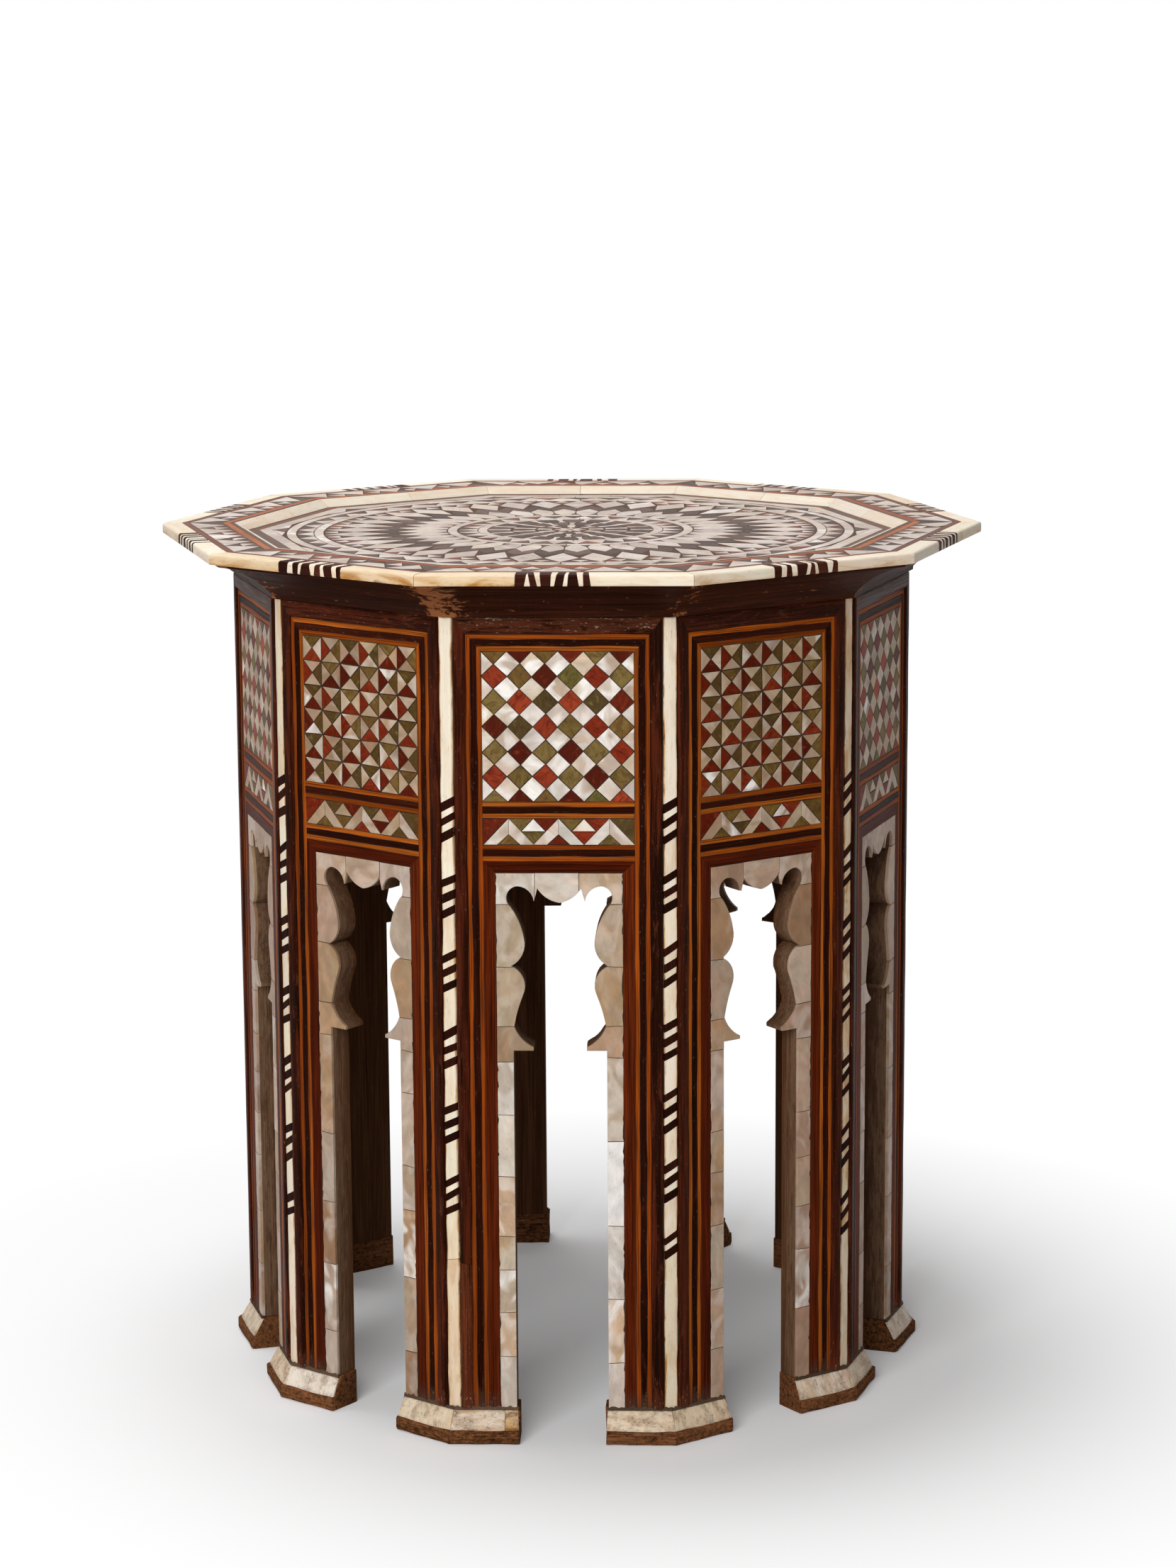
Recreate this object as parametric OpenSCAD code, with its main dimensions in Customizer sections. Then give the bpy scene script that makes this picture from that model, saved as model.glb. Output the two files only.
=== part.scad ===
// Ten-sided side table, inlaid with mother of pearl, bone and coloured woods.
// Ten mitred boards stand on ten corner feet and carry a tray-shaped top.
// Millimetres, +Z up, origin on the floor under the centre. Side 1 looks along -Y,
// and the sides are numbered from it towards +X. Corner n lies between sides n and n + 1.

/* [Overall] */
// Height of the table
height = 560; // [540:1:590]
// Radius of the top at its corners
top_r = 271; // [264:1:280]
// How far the top's corners stand out past the body's corners
overhang = 46.8; // [44:0.1:50]

/* [Carcass] */
// Thickness of the ten side boards
board_t = 15; // [12:0.5:18]
// Thickness of the inlay that is laid on the boards and the rim
inlay_t = 2; // [1.5:0.1:2.5]
// Thickness of the top planks under the tray
plank_t = 16; // [12:1:20]
// Number of planks in the top
plank_count = 3; // [2:1:4]
// Height of the glue blocks in the inner corners
block_h = 70; // [40:5:100]
// Length of a glue block along each board
block_leg = 24; // [18:1:30]
// Play between a piece and the bed that it is laid in
fit = 0.05; // [0.02:0.01:0.1]

/* [Feet] */
// Height of a foot
foot_h = 22; // [18:0.5:26]
// How far the foot stands out past the face of the body
foot_flare = 8.4; // [6:0.2:11]
// Height of the bare wood under the faced bevel
foot_kick_h = 9; // [4:0.5:11]
// Ledge of bare wood outside the bevel's lower edge
foot_ledge = 1; // [0.5:0.1:2]
// How far the foot's end stands past the leg, into the opening
foot_toe = 1.7; // [0.5:0.1:3]
// Length of the small facing at the end of the foot
foot_tip_w = 8; // [5:0.5:12]

/* [Corner strips] */
// Width of the bone strip down each corner
strip_w = 8.7; // [7:0.1:10]
// Number of groups of dark slanted bars on a strip
bar_groups = 7; // [3:1:7]
// Number of dark bars in a group
bars_in_group = 3; // [2:1:3]
// Height of a dark bar, measured up the strip
bar_h = 5.2; // [4:0.1:6]
// Height of the bone between two dark bars
bar_gap_h = 4.4; // [3:0.1:5]
// Rise of a bar across the strip
bar_rise = 4.6; // [2:0.1:6]
// Distance from one group to the next
bar_pitch = 46; // [38:0.5:50]
// Distance from the top of the strip down to the first group
bar_start = 111; // [95:1:120]

/* [Panel borders] */
// Width of the dark moulding down the sides of a face
moulding_w = 7.7; // [6:0.1:9]
// Height of the dark moulding across the top of a face
header_h = 10.6; // [8:0.1:13]
// How far the moulding stands out past the inlay
moulding_proud = 1.6; // [0.8:0.1:2.5]
// Width of an upright string of orange wood
string_w = 2.7; // [2:0.1:3.5]
// Height of a string that runs across
cross_string_h = 3.1; // [2:0.1:4]
// Width of the upright dark fillet between two strings
fillet_w = 4.1; // [3:0.1:5]
// Height of a fillet that runs across
cross_fillet_h = 4.2; // [3:0.1:5.5]
// Width of the red-brown wood band round the arch
band_w = 7.4; // [6:0.1:9]
// Height of the chevron frieze
frieze_h = 16.5; // [14:0.5:20]
// Width of the dark mastic line between two mosaic pieces
mastic_w = 0.5; // [0.3:0.05:0.8]

/* [Arch] */
// Width of the pearl facing on a leg
facing_w = 10.4; // [8:0.1:12]
// Height of the hooks where the arch springs
arch_spring = 255.5; // [240:0.5:275]
// How far the hooks stand into the opening
hook_reach = 12.5; // [8:0.5:15]
// How far the side lobes stand into the opening
lobe_reach = 7; // [4:0.5:9]
// How far the two round heads cut into the facing, past the legs
head_reach = 3.6; // [2:0.2:5]
// Half width of the lobe that hangs from the crown
pendant_half_w = 13.5; // [11:0.5:15]
// Longest piece of pearl on a leg
leg_piece_h = 50; // [30:1:60]

/* [Top edge] */
// Height of the bone edge
edge_h = 7; // [6:0.5:10]
// Width of the bone edge, seen from above
edge_w = 12.3; // [9:0.1:14]
// Rounding of the outer arris of the bone edge
edge_round = 1.8; // [0.5:0.1:3]
// Number of dark bars in the middle of each edge
edge_bars_n = 6; // [4:1:8]
// Width of a dark bar in the edge
edge_bar_w = 5.2; // [4:0.1:6]
// Width of the bone between two dark bars in the edge
edge_bar_gap = 4.1; // [3:0.1:5]
// Height of the cove under the edge
cove_h = 25; // [20:0.5:30]
// Distance of the cove's top from the outer edge
cove_back = 6; // [3:0.5:9]
// Depth of the cove's hollow
cove_sag = 3; // [1:0.5:5]
// Height of the flat fillets above and below the hollow
cove_lip = 2.5; // [1:0.5:4]

/* [Tray] */
// Width of the brown string inside the bone edge
rim_string_w = 4.8; // [3:0.1:6]
// Width of the triangle band on the rim
rim_band_w = 20.9; // [16:0.1:23]
// Number of pearl triangles along each side of the rim
rim_units = 5; // [4:1:7]
// Width of the orange string inside the triangle band
rim_inner_string_w = 4.8; // [3:0.1:6]
// Width of the dark string beside the tray wall
rim_dark_w = 2.8; // [2:0.1:4]
// Width of the wall's bone lip, seen from above
lip_w = 1.4; // [1:0.1:2]
// Slope of the tray wall, seen from above
wall_run = 7.2; // [4:0.1:9]
// Depth of the tray below the rim
tray_depth = 5; // [4.4:0.1:5.4]
// Thickness of the wall's bone facing, measured level
wall_t = 2.2; // [1.5:0.1:3]
// Width of the dark band round the field
field_band_w = 7.1; // [5:0.1:9]
// Width of the ten-sided pearl line round the field
field_line_w = 8.4; // [6:0.1:10]

/* [Round field] */
// Width of a pearl ring
ring_w = 6; // [4:0.1:7]
// Width of the outer zigzag, between the first two rings
zigzag_a_w = 12; // [9:0.5:15]
// Number of teeth in the outer zigzag
teeth_a = 50; // [40:2:60]
// Number of points in the star
star_n = 40; // [24:2:48]
// Length of a lozenge of the star, from its outer tip to its widest place
lozenge_head = 19.5; // [14:0.5:24]
// Length of a lozenge, from its widest place to its inner tip
lozenge_tail = 24; // [18:0.5:28]
// Distance from the lozenges' inner tips to the tips of the sunburst
burst_gap = 4; // [2:0.5:8]
// Depth of the notches between the tips of the sunburst
burst_notch = 14; // [10:0.5:18]
// Length of the sunburst's pieces inside its notches
burst_w = 20; // [14:0.5:24]
// Width of the inner zigzag, between the last two rings
zigzag_c_w = 14; // [9:0.5:17]
// Number of teeth in the inner zigzag
teeth_c = 30; // [24:2:36]
// Number of petals in the rosette
petals = 16; // [10:2:20]

/* [Hidden] */
SIDES = 10;
TURN = 360 / SIDES;
HALF = TURN / 2;
CUT = 1;                       // how far a cutting body runs past what it cuts
FAR = 2 * top_r;               // longer than anything that is cut at a mitre

// Body: its radius at the corners, and the faces', boards' and inner sides' distances from the axis
body_r = top_r - overhang;
face_a = body_r * cos(HALF);
board_a = face_a - inlay_t;
inner_a = board_a - board_t;
strip_r = body_r - strip_w / 2 * tan(HALF);
strip_back_r = strip_r - inlay_t;

// Levels
rim_z = height - edge_h;
plank_z = rim_z - plank_t;
body_top = rim_z - cove_h;
inlay_z = height - inlay_t;
tray_z = height - tray_depth;
field_t = tray_z - rim_z;

// Panel: half widths from the corner strip to the mosaic field, and the levels that go with them
mould_x = strip_back_r * sin(HALF) - strip_w / 2 * cos(HALF) - fit;
string_x = mould_x - moulding_w;
fillet_x = string_x - string_w;
string2_x = fillet_x - fillet_w;
field_x = string2_x - string_w;
band_x = field_x - band_w;
string_z = body_top - header_h;
fillet_z = string_z - cross_string_h;
string2_z = fillet_z - cross_fillet_h;
field_top = string2_z - cross_string_h;
bars_h = 2 * cross_string_h + cross_fillet_h;
TILES = 6;                     // mosaic units across and up a panel
tile = 2 * field_x / TILES;
field_bottom = field_top - TILES * tile;
frieze_top = field_bottom - bars_h;
frieze_bottom = frieze_top - frieze_h;
band_top = frieze_bottom - bars_h;
arch_top = band_top - band_w;
arch_rise = arch_top - arch_spring;
leg_x = band_x - facing_w;

// Feet
foot_a = face_a + foot_flare;
foot_end_x = leg_x - foot_toe;

// Rim and tray, as distances of the sides from the axis
edge_a = top_r * cos(HALF);
edge_in_a = edge_a - edge_w;
rim_band_a = edge_in_a - rim_string_w;
rim_string_a = rim_band_a - rim_band_w;
rim_dark_a = rim_string_a - rim_inner_string_w;
lip_a = rim_dark_a - rim_dark_w;
wall_top_a = lip_a - lip_w;
wall_a = wall_top_a - wall_run;
line_a = wall_a - field_band_w;
spandrel_a = line_a - field_line_w;
cove_top_a = edge_a - cove_back;

// Round field, from the outside to the middle
ring_a_r = spandrel_a - 2 * mastic_w;
ring_b_r = ring_a_r - ring_w - zigzag_a_w;
star_turn = 360 / star_n;
star_out_r = ring_b_r - ring_w - mastic_w;
lozenge_r = star_out_r - lozenge_head;
lozenge_tip_r = lozenge_r - lozenge_tail;
burst_r = lozenge_tip_r - burst_gap;
burst_notch_r = burst_r - burst_notch;
ring_c_r = burst_notch_r - burst_w;
ring_d_r = ring_c_r - ring_w - zigzag_c_w;
rosette_r = ring_d_r - ring_w - mastic_w;
petal_turn = 360 / petals;

SIDE_BOARDS = [for (n = [1:SIDES]) str("side_board_", n)];
FEET = [for (n = [1:SIDES]) str("foot_", n)];
COVES = [for (n = [1:SIDES]) str("cove_", n)];

// Places and outlines

// A point at radius r, turned by angle a from the middle of side 1 towards +X
function polar(r, a) = [r * sin(a), -r * cos(a)];

function unit(v) = v / norm(v);

// Area of an outline, below zero when its points run clockwise
function signed_area(p) =
    let (n = len(p))
    [for (i = [0:n - 1]) p[i].x * p[(i + 1) % n].y - p[(i + 1) % n].x * p[i].y] * [for (i = [0:n - 1]) 0.5];

function reversed(p) = [for (i = [len(p) - 1:-1:0]) p[i]];

function anticlockwise(p) = signed_area(p) < 0 ? reversed(p) : p;

// An outline drawn in by g on every side
function drawn_in(p, g) =
    let (n = len(p))
    [for (i = [0:n - 1])
        let (
            before = unit(p[i] - p[(i + n - 1) % n]),
            after = unit(p[(i + 1) % n] - p[i]),
            m = [-before.y, before.x],
            k = [-after.y, after.x]
        )
        p[i] + (m + k) * g / (1 + m * k)];

// Points on the arc from p to q that passes through m, without p itself
function arc(p, m, q, n) =
    let (
        d = 2 * (p.x * (m.y - q.y) + m.x * (q.y - p.y) + q.x * (p.y - m.y)),
        pp = p * p,
        mm = m * m,
        qq = q * q,
        c = [
            (pp * (m.y - q.y) + mm * (q.y - p.y) + qq * (p.y - m.y)) / d,
            (pp * (q.x - m.x) + mm * (p.x - q.x) + qq * (m.x - p.x)) / d
        ],
        a0 = atan2(p.y - c.y, p.x - c.x),
        a1 = atan2(q.y - c.y, q.x - c.x),
        turn = d > 0 ? (a1 - a0 + 720) % 360 : -((a0 - a1 + 720) % 360)
    )
    [for (i = [1:n]) c + norm(p - c) * [cos(a0 + turn * i / n), sin(a0 + turn * i / n)]];

// Moves what is drawn in a face's own plane, x along it and y up, out from the board
module on_face(n, depth = board_a) {
    rotate([0, 0, TURN * (n - 1)]) translate([0, -depth, 0]) rotate([90, 0, 0]) children();
}

// A mosaic piece: the outline less half a mastic line on every side
module piece(points, t = inlay_t) {
    linear_extrude(t) polygon(drawn_in(anticlockwise(points), mastic_w / 2));
}

// A border piece: the outline less half of the play between two pieces
module laid(points, t = inlay_t) {
    linear_extrude(t) polygon(drawn_in(anticlockwise(points), fit / 2));
}

// The wedge of the table that belongs to side n
module sector(n, z0, z1) {
    rotate([0, 0, TURN * (n - 1)]) translate([0, 0, z0]) linear_extrude(z1 - z0)
        polygon(drawn_in([[0, 0], polar(FAR, -HALF), polar(FAR, HALF)], fit / 2));
}

// A profile, given as [distance from the axis, height], run along side n from x0 to x1
module along_side(n, x0, x1) {
    rotate([0, 0, TURN * (n - 1)]) translate([x0, 0, 0]) rotate([90, 0, 90]) mirror([1, 0, 0])
        linear_extrude(x1 - x0) children();
}

// The same run from corner to corner, mitred at both
module mitred_side(n, z0, z1) {
    intersection() {
        along_side(n, -FAR / 2, FAR / 2) children();
        sector(n, z0 - CUT, z1 + CUT);
    }
}

// A flat band of side n between two distances from the axis, mitred at both ends
module flat_band(n, a0, a1, z, t) {
    rotate([0, 0, TURN * (n - 1)]) translate([0, 0, z]) laid([
        [-a0 * tan(HALF), -a0], [a0 * tan(HALF), -a0],
        [a1 * tan(HALF), -a1], [-a1 * tan(HALF), -a1]
    ], t);
}

// Half of the arch's outline from the springing to the crown, on the right-hand side
function arch_at(x, f) = [x, arch_spring + arch_rise * f];

function arch_half() =
    let (
        hook = arch_at(leg_x - hook_reach, 0.02),
        neck = arch_at(leg_x - 0.5, 0.137),
        waist = arch_at(leg_x - lobe_reach + 0.8, 0.315),
        lobe = arch_at(leg_x - lobe_reach + 0.3, 0.405),
        cusp = arch_at(leg_x + 1.1, 0.478),
        upper = arch_at(leg_x - lobe_reach, 0.634),
        shoulder = arch_at(leg_x + 1.1, 0.81),
        head = arch_at(leg_x - 2.8, 0.926),
        tip = arch_at(pendant_half_w + 2.3, 0.84),
        notch = arch_at(pendant_half_w, 0.912)
    )
    concat(
        [[leg_x, arch_spring], arch_at(leg_x - hook_reach, 0), hook],
        arc(hook, arch_at(leg_x - 5.4, 0.066), neck, 3),
        arc(neck, arch_at(leg_x - 2.6, 0.22), waist, 2),
        arc(waist, lobe, cusp, 5),
        arc(cusp, arch_at(leg_x - lobe_reach + 0.9, 0.545), upper, 4),
        arc(upper, arch_at(leg_x - 3.2, 0.745), shoulder, 3),
        arc(shoulder, arch_at(leg_x + head_reach, 0.873), head, 5),
        arc(head, arch_at(pendant_half_w + 6, 0.904), tip, 3),
        [notch],
        arc(notch, arch_at(pendant_half_w * 0.6, 0.862), arch_at(0, 0.833), 4)
    );

// The whole opening of one side, from below the legs to the crown
module arch_opening(z0) {
    right = arch_half();
    left = [for (i = [len(right) - 2:-1:0]) [-right[i].x, right[i].y]];
    polygon(concat([[leg_x, z0]], right, left, [[-leg_x, z0]]));
}

// Carcass

module side_board(n) {
    // Where the flat at the corner meets the board's face
    flat_x = (strip_back_r - board_a * cos(HALF)) / sin(HALF);
    flat_end = polar(strip_back_r, HALF);
    color("saddlebrown") difference() {
        rotate([0, 0, TURN * (n - 1)]) translate([0, 0, foot_h]) linear_extrude(plank_z - foot_h)
            polygon([
                [-inner_a * tan(HALF), -inner_a], [-flat_end.x, flat_end.y], [-flat_x, -board_a],
                [flat_x, -board_a], flat_end, [inner_a * tan(HALF), -inner_a]
            ]);
        on_face(n, inner_a - CUT) linear_extrude(board_t + 2 * CUT) arch_opening(foot_h - CUT);
    }
}

// Profile of a foot; the faced bevel is cut back to make room for its facing
module foot_profile() {
    polygon([
        [inner_a, 0], [foot_a, 0], [foot_a, foot_kick_h], [foot_a - foot_ledge - inlay_t, foot_kick_h],
        [board_a, foot_h], [inner_a, foot_h]
    ]);
}

module facing_profile() {
    polygon([
        [foot_a - foot_ledge - inlay_t, foot_kick_h], [foot_a - foot_ledge, foot_kick_h],
        [face_a, foot_h], [board_a, foot_h]
    ]);
}

// One arm of a foot on side n; hand is 1 for its right-hand corner and -1 for its left
module foot_arm(n, hand, from, to) {
    intersection() {
        if (hand > 0) along_side(n, from, to) children();
        else along_side(n, -to, -from) children();
        sector(n, -CUT, foot_h + CUT);
    }
}

module foot(n) {
    color("sienna") union() {
        foot_arm(n, 1, foot_end_x, FAR / 2) foot_profile();
        foot_arm(n % SIDES + 1, -1, foot_end_x, FAR / 2) foot_profile();
    }
}

module foot_facing() {
    seam_x = foot_end_x + foot_tip_w;
    color("linen") for (n = [1:SIDES], hand = [-1, 1]) {
        foot_arm(n, hand, foot_end_x, seam_x - mastic_w) facing_profile();
        foot_arm(n, hand, seam_x, FAR / 2) facing_profile();
    }
}

module glue_blocks() {
    // Where the block ends on the board's inner side, from the middle of the board
    end_x = inner_a * tan(HALF) - block_leg;
    end_r = norm([end_x, inner_a]);
    end_turn = atan(end_x / inner_a);
    color("burlywood") for (n = [1:SIDES])
        rotate([0, 0, TURN * (n - 1)]) translate([0, 0, plank_z - block_h]) linear_extrude(block_h)
            polygon([polar(inner_a / cos(HALF), HALF), polar(end_r, end_turn), polar(end_r, TURN - end_turn)]);
}

module top_planks() {
    plank_w = 2 * board_a / plank_count;
    color("peru") for (i = [0:plank_count - 1]) intersection() {
        translate([0, 0, plank_z]) linear_extrude(plank_t)
            polygon([for (n = [0:SIDES - 1]) polar(board_a / cos(HALF), HALF + n * TURN)]);
        translate([-FAR / 2, -board_a + i * plank_w + fit / 2, plank_z - CUT])
            cube([FAR, plank_w - fit, plank_t + 2 * CUT]);
    }
}

module cove(n) {
    low = [face_a + cove_lip, body_top + cove_lip];
    high = [cove_top_a - cove_lip, rim_z - cove_lip];
    slope = unit(high - low);
    middle = (low + high) / 2 + cove_sag * [-slope.y, slope.x];
    color("#3b1c12") mitred_side(n, body_top, rim_z) polygon(concat(
        [[board_a, body_top], [face_a + cove_lip, body_top], low],
        arc(low, middle, high, 6),
        [[cove_top_a, rim_z - cove_lip], [cove_top_a, rim_z], [board_a, rim_z]]
    ));
}

module rim_frame() {
    color("saddlebrown") for (n = [1:SIDES]) mitred_side(n, rim_z, inlay_z) polygon([
        [wall_a + wall_t, rim_z], [edge_in_a, rim_z], [edge_in_a, inlay_z],
        [wall_a + wall_t + wall_run * (inlay_z - tray_z) / tray_depth, inlay_z],
        [wall_a + wall_t, tray_z]
    ]);
}

// Corner strips: bone from the foot to the cove, with groups of slanted dark bars

module strip_piece(n, z0, z1, rise0, rise1) {
    rotate([0, 0, TURN * (n - 1) + HALF]) translate([0, -strip_back_r, 0]) rotate([90, 0, 0])
        linear_extrude(inlay_t)
            polygon([
                [-strip_w / 2, z0], [strip_w / 2, z0 + rise0],
                [strip_w / 2, z1 + rise1], [-strip_w / 2, z1]
            ]);
}

// Lower end of dark bar b in group g
function bar_z(g, b) = body_top - bar_start - g * bar_pitch - b * (bar_h + bar_gap_h) - bar_h - bar_rise;

module corner_bars() {
    color("#2a140e") for (n = [1:SIDES], g = [0:bar_groups - 1], b = [0:bars_in_group - 1])
        strip_piece(n, bar_z(g, b), bar_z(g, b) + bar_h - fit, bar_rise, bar_rise);
}

module corner_bone() {
    last = bars_in_group - 1;
    color("antiquewhite") for (n = [1:SIDES]) {
        strip_piece(n, bar_z(0, 0) + bar_h, body_top - fit, bar_rise, 0);
        for (g = [0:bar_groups - 1], b = [1:last])
            strip_piece(n, bar_z(g, b) + bar_h, bar_z(g, b - 1) - fit, bar_rise, bar_rise);
        for (g = [1:bar_groups - 1])
            strip_piece(n, bar_z(g, 0) + bar_h, bar_z(g - 1, last) - fit, bar_rise, bar_rise);
        strip_piece(n, foot_h + fit, bar_z(bar_groups - 1, last) - fit, 0, bar_rise);
    }
}

// Panel borders

// An upright border piece of a face between two half widths, mitred at its top
module upright(hand, x_out, x_in, z_out, z_in, t = inlay_t) {
    laid([[hand * x_out, foot_h], [hand * x_out, z_out], [hand * x_in, z_in], [hand * x_in, foot_h]], t);
}

// A top border piece of a face, mitred at both ends
module header(x_out, x_in, z_out, z_in, t = inlay_t) {
    laid([[-x_out, z_out], [x_out, z_out], [x_in, z_in], [-x_in, z_in]], t);
}

module moulding_profile(w) {
    bevel = w / 4;
    top = inlay_t + moulding_proud;
    polygon([[0, 0], [w, 0], [w, inlay_t], [w - bevel, top], [bevel, top], [0, inlay_t]]);
}

module panel_moulding() {
    tall = inlay_t + moulding_proud;
    color("#331a12") for (n = [1:SIDES]) on_face(n) {
        for (hand = [-1, 1]) intersection() {
            upright(hand, mould_x, string_x, body_top, string_z, tall);
            translate([hand * (mould_x + string_x) / 2 - moulding_w / 2, body_top, 0])
                rotate([90, 0, 0]) linear_extrude(body_top - foot_h) moulding_profile(moulding_w);
        }
        intersection() {
            header(mould_x, string_x, body_top, string_z, tall);
            translate([-mould_x, string_z, 0]) rotate([90, 0, 90])
                linear_extrude(2 * mould_x) moulding_profile(header_h);
        }
    }
}

// A level bar between the uprights of a panel
module level_bar(z_top, h) {
    laid([[-field_x, z_top - h], [field_x, z_top - h], [field_x, z_top], [-field_x, z_top]]);
}

module panel_strings() {
    color("chocolate") for (n = [1:SIDES]) on_face(n) {
        for (hand = [-1, 1]) {
            upright(hand, string_x, fillet_x, string_z, fillet_z);
            upright(hand, string2_x, field_x, string2_z, field_top);
        }
        header(string_x, fillet_x, string_z, fillet_z);
        header(string2_x, field_x, string2_z, field_top);
        for (z = [field_bottom, frieze_bottom]) {
            level_bar(z, cross_string_h);
            level_bar(z - cross_string_h - cross_fillet_h, cross_string_h);
        }
    }
}

module panel_fillets() {
    color("#20100b") for (n = [1:SIDES]) on_face(n) {
        for (hand = [-1, 1]) upright(hand, fillet_x, string2_x, fillet_z, string2_z);
        header(fillet_x, string2_x, fillet_z, string2_z);
        for (z = [field_bottom, frieze_bottom]) level_bar(z - cross_string_h, cross_fillet_h);
    }
}

module panel_bands() {
    color("#6e2a15") for (n = [1:SIDES]) on_face(n) {
        for (hand = [-1, 1]) upright(hand, field_x, band_x, band_top, arch_top);
        header(field_x, band_x, band_top, arch_top);
    }
}

// Mosaic of the panels. Odd sides have diamonds, and even sides have quartered squares.

module diamond(x, z) {
    r = tile / 2;
    low = max(z - r, field_bottom);
    high = min(z + r, field_top);
    west = max(x - r, -field_x);
    east = min(x + r, field_x);
    piece([for (p = [[x, low], [east, z], [x, high], [west, z]])
        if (abs(p.x) <= field_x && p.y >= field_bottom && p.y <= field_top) p]);
}

// Quarter of a square of the mosaic: q is 0 below, 1 right, 2 above and 3 left
module quarter(i, j, q) {
    c = [-field_x + (i + 0.5) * tile, field_top - (j + 0.5) * tile];
    r = tile / sqrt(2);
    piece([c, c + r * [cos(90 * q - 135), sin(90 * q - 135)], c + r * [cos(90 * q - 45), sin(90 * q - 45)]]);
}

// A triangle cut into four like ones: the three at its corners, and the one in its middle
module corner_thirds(a, b, c, t = inlay_t) {
    piece([a, (a + b) / 2, (a + c) / 2], t);
    piece([b, (b + c) / 2, (a + b) / 2], t);
    piece([c, (a + c) / 2, (b + c) / 2], t);
}

module middle_third(a, b, c, t = inlay_t) {
    piece([(a + b) / 2, (b + c) / 2, (a + c) / 2], t);
}

// Frieze: pearl chevrons, with coloured triangles inside and between them
chevron_inner = [tile * 0.46, frieze_h * 0.4];

module chevrons() {
    for (i = [-1:1]) let (x = 2 * tile * i) piece([
        [x - tile, frieze_bottom], [x - chevron_inner.x, frieze_bottom],
        [x, frieze_bottom + chevron_inner.y], [x + chevron_inner.x, frieze_bottom],
        [x + tile, frieze_bottom], [x, frieze_top]
    ]);
}

module chevron_hearts(i) {
    x = 2 * tile * i;
    piece([
        [x - chevron_inner.x, frieze_bottom], [x + chevron_inner.x, frieze_bottom],
        [x, frieze_bottom + chevron_inner.y]
    ]);
}

// The three corners of the hanging triangle between two chevrons; hand picks the one
function hanging(hand) = [
    [hand * tile, frieze_bottom], [hand * 2 * tile, frieze_top], [0, frieze_top]
];

module frieze_end(hand) {
    piece([[hand * 3 * tile, frieze_bottom], [hand * 3 * tile, frieze_top], [hand * 2 * tile, frieze_top]]);
}

module panel_pearl() {
    color("gainsboro") for (n = [1:SIDES]) on_face(n) {
        if (n % 2 == 1)
            for (i = [0:TILES], j = [0:TILES - 1]) diamond(-field_x + i * tile, field_top - (j + 0.5) * tile);
        else
            for (i = [0:TILES - 1], j = [0:TILES - 1], q = [0, 2]) quarter(i, j, (i + j) % 2 == 0 ? q + 1 : q);
        chevrons();
        for (hand = [-1, 1]) let (h = hanging(hand)) middle_third(h[0], h[1], h[2]);
    }
}

module panel_red() {
    color("firebrick") for (n = [1:SIDES]) on_face(n) {
        if (n % 2 == 1)
            for (i = [0:TILES - 1], j = [0:TILES]) if ((i + j) % 2 == 1)
                diamond(-field_x + (i + 0.5) * tile, field_top - j * tile);
        if (n % 2 == 0)
            for (i = [0:TILES - 1], j = [0:TILES - 1]) quarter(i, j, (i + j) % 2 == 0 ? 0 : 3);
        chevron_hearts(0);
        frieze_end(-1);
        let (h = hanging(1)) corner_thirds(h[0], h[1], h[2]);
    }
}

module panel_green() {
    color("darkolivegreen") for (n = [1:SIDES]) on_face(n) {
        if (n % 2 == 1)
            for (i = [0:TILES - 1], j = [0:TILES]) if ((i + j) % 2 == 0)
                diamond(-field_x + (i + 0.5) * tile, field_top - j * tile);
        if (n % 2 == 0)
            for (i = [0:TILES - 1], j = [0:TILES - 1]) quarter(i, j, (i + j) % 2 == 0 ? 2 : 1);
        chevron_hearts(-1);
        chevron_hearts(1);
        frieze_end(1);
        let (h = hanging(-1)) corner_thirds(h[0], h[1], h[2]);
    }
}

// Pearl facing of the arch and the legs, in pieces cut to its outline

module facing_window(x0, x1, z0, z1) {
    linear_extrude(inlay_t) difference() {
        translate([x0, z0]) square([x1 - x0, z1 - z0]);
        arch_opening(foot_h - CUT);
    }
}

module arch_pearl() {
    crown_x = pendant_half_w;
    shoulder_z = arch_at(0, 0.82).y;
    cusp_z = arch_at(0, 0.478).y;
    neck_z = arch_at(0, 0.137).y;
    heel_z = arch_spring - hook_reach / 2;
    leg_n = ceil((heel_z - foot_h) / leg_piece_h);
    leg_piece = (heel_z - foot_h) / leg_n;
    levels = concat(
        [for (i = [0:leg_n]) foot_h + i * leg_piece],
        [neck_z, cusp_z, shoulder_z, arch_top]
    );
    color("silver") for (n = [1:SIDES]) on_face(n) {
        facing_window(-crown_x + mastic_w / 2, crown_x - mastic_w / 2, shoulder_z, arch_top);
        for (i = [0:len(levels) - 2], hand = [-1, 1]) let (
            x0 = i == len(levels) - 2 ? crown_x + mastic_w / 2 : leg_x - hook_reach - CUT,
            z0 = levels[i] + mastic_w / 2,
            z1 = levels[i + 1] - mastic_w / 2
        )
            if (hand > 0) facing_window(x0, band_x, z0, z1);
            else facing_window(-band_x, -x0, z0, z1);
    }
}

// Bone edge of the top

module edge_profile() {
    r = edge_round;
    corner = [edge_a - r, height - r];
    polygon(concat(
        [[edge_in_a, rim_z], [edge_a, rim_z]],
        [for (i = [0:2]) corner + r * [cos(45 * i), sin(45 * i)]],
        [[edge_in_a, height]]
    ));
}

edge_pitch = edge_bar_w + edge_bar_gap;
edge_bars_x = edge_bars_n * edge_pitch / 2 - edge_bar_gap / 2;

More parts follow.
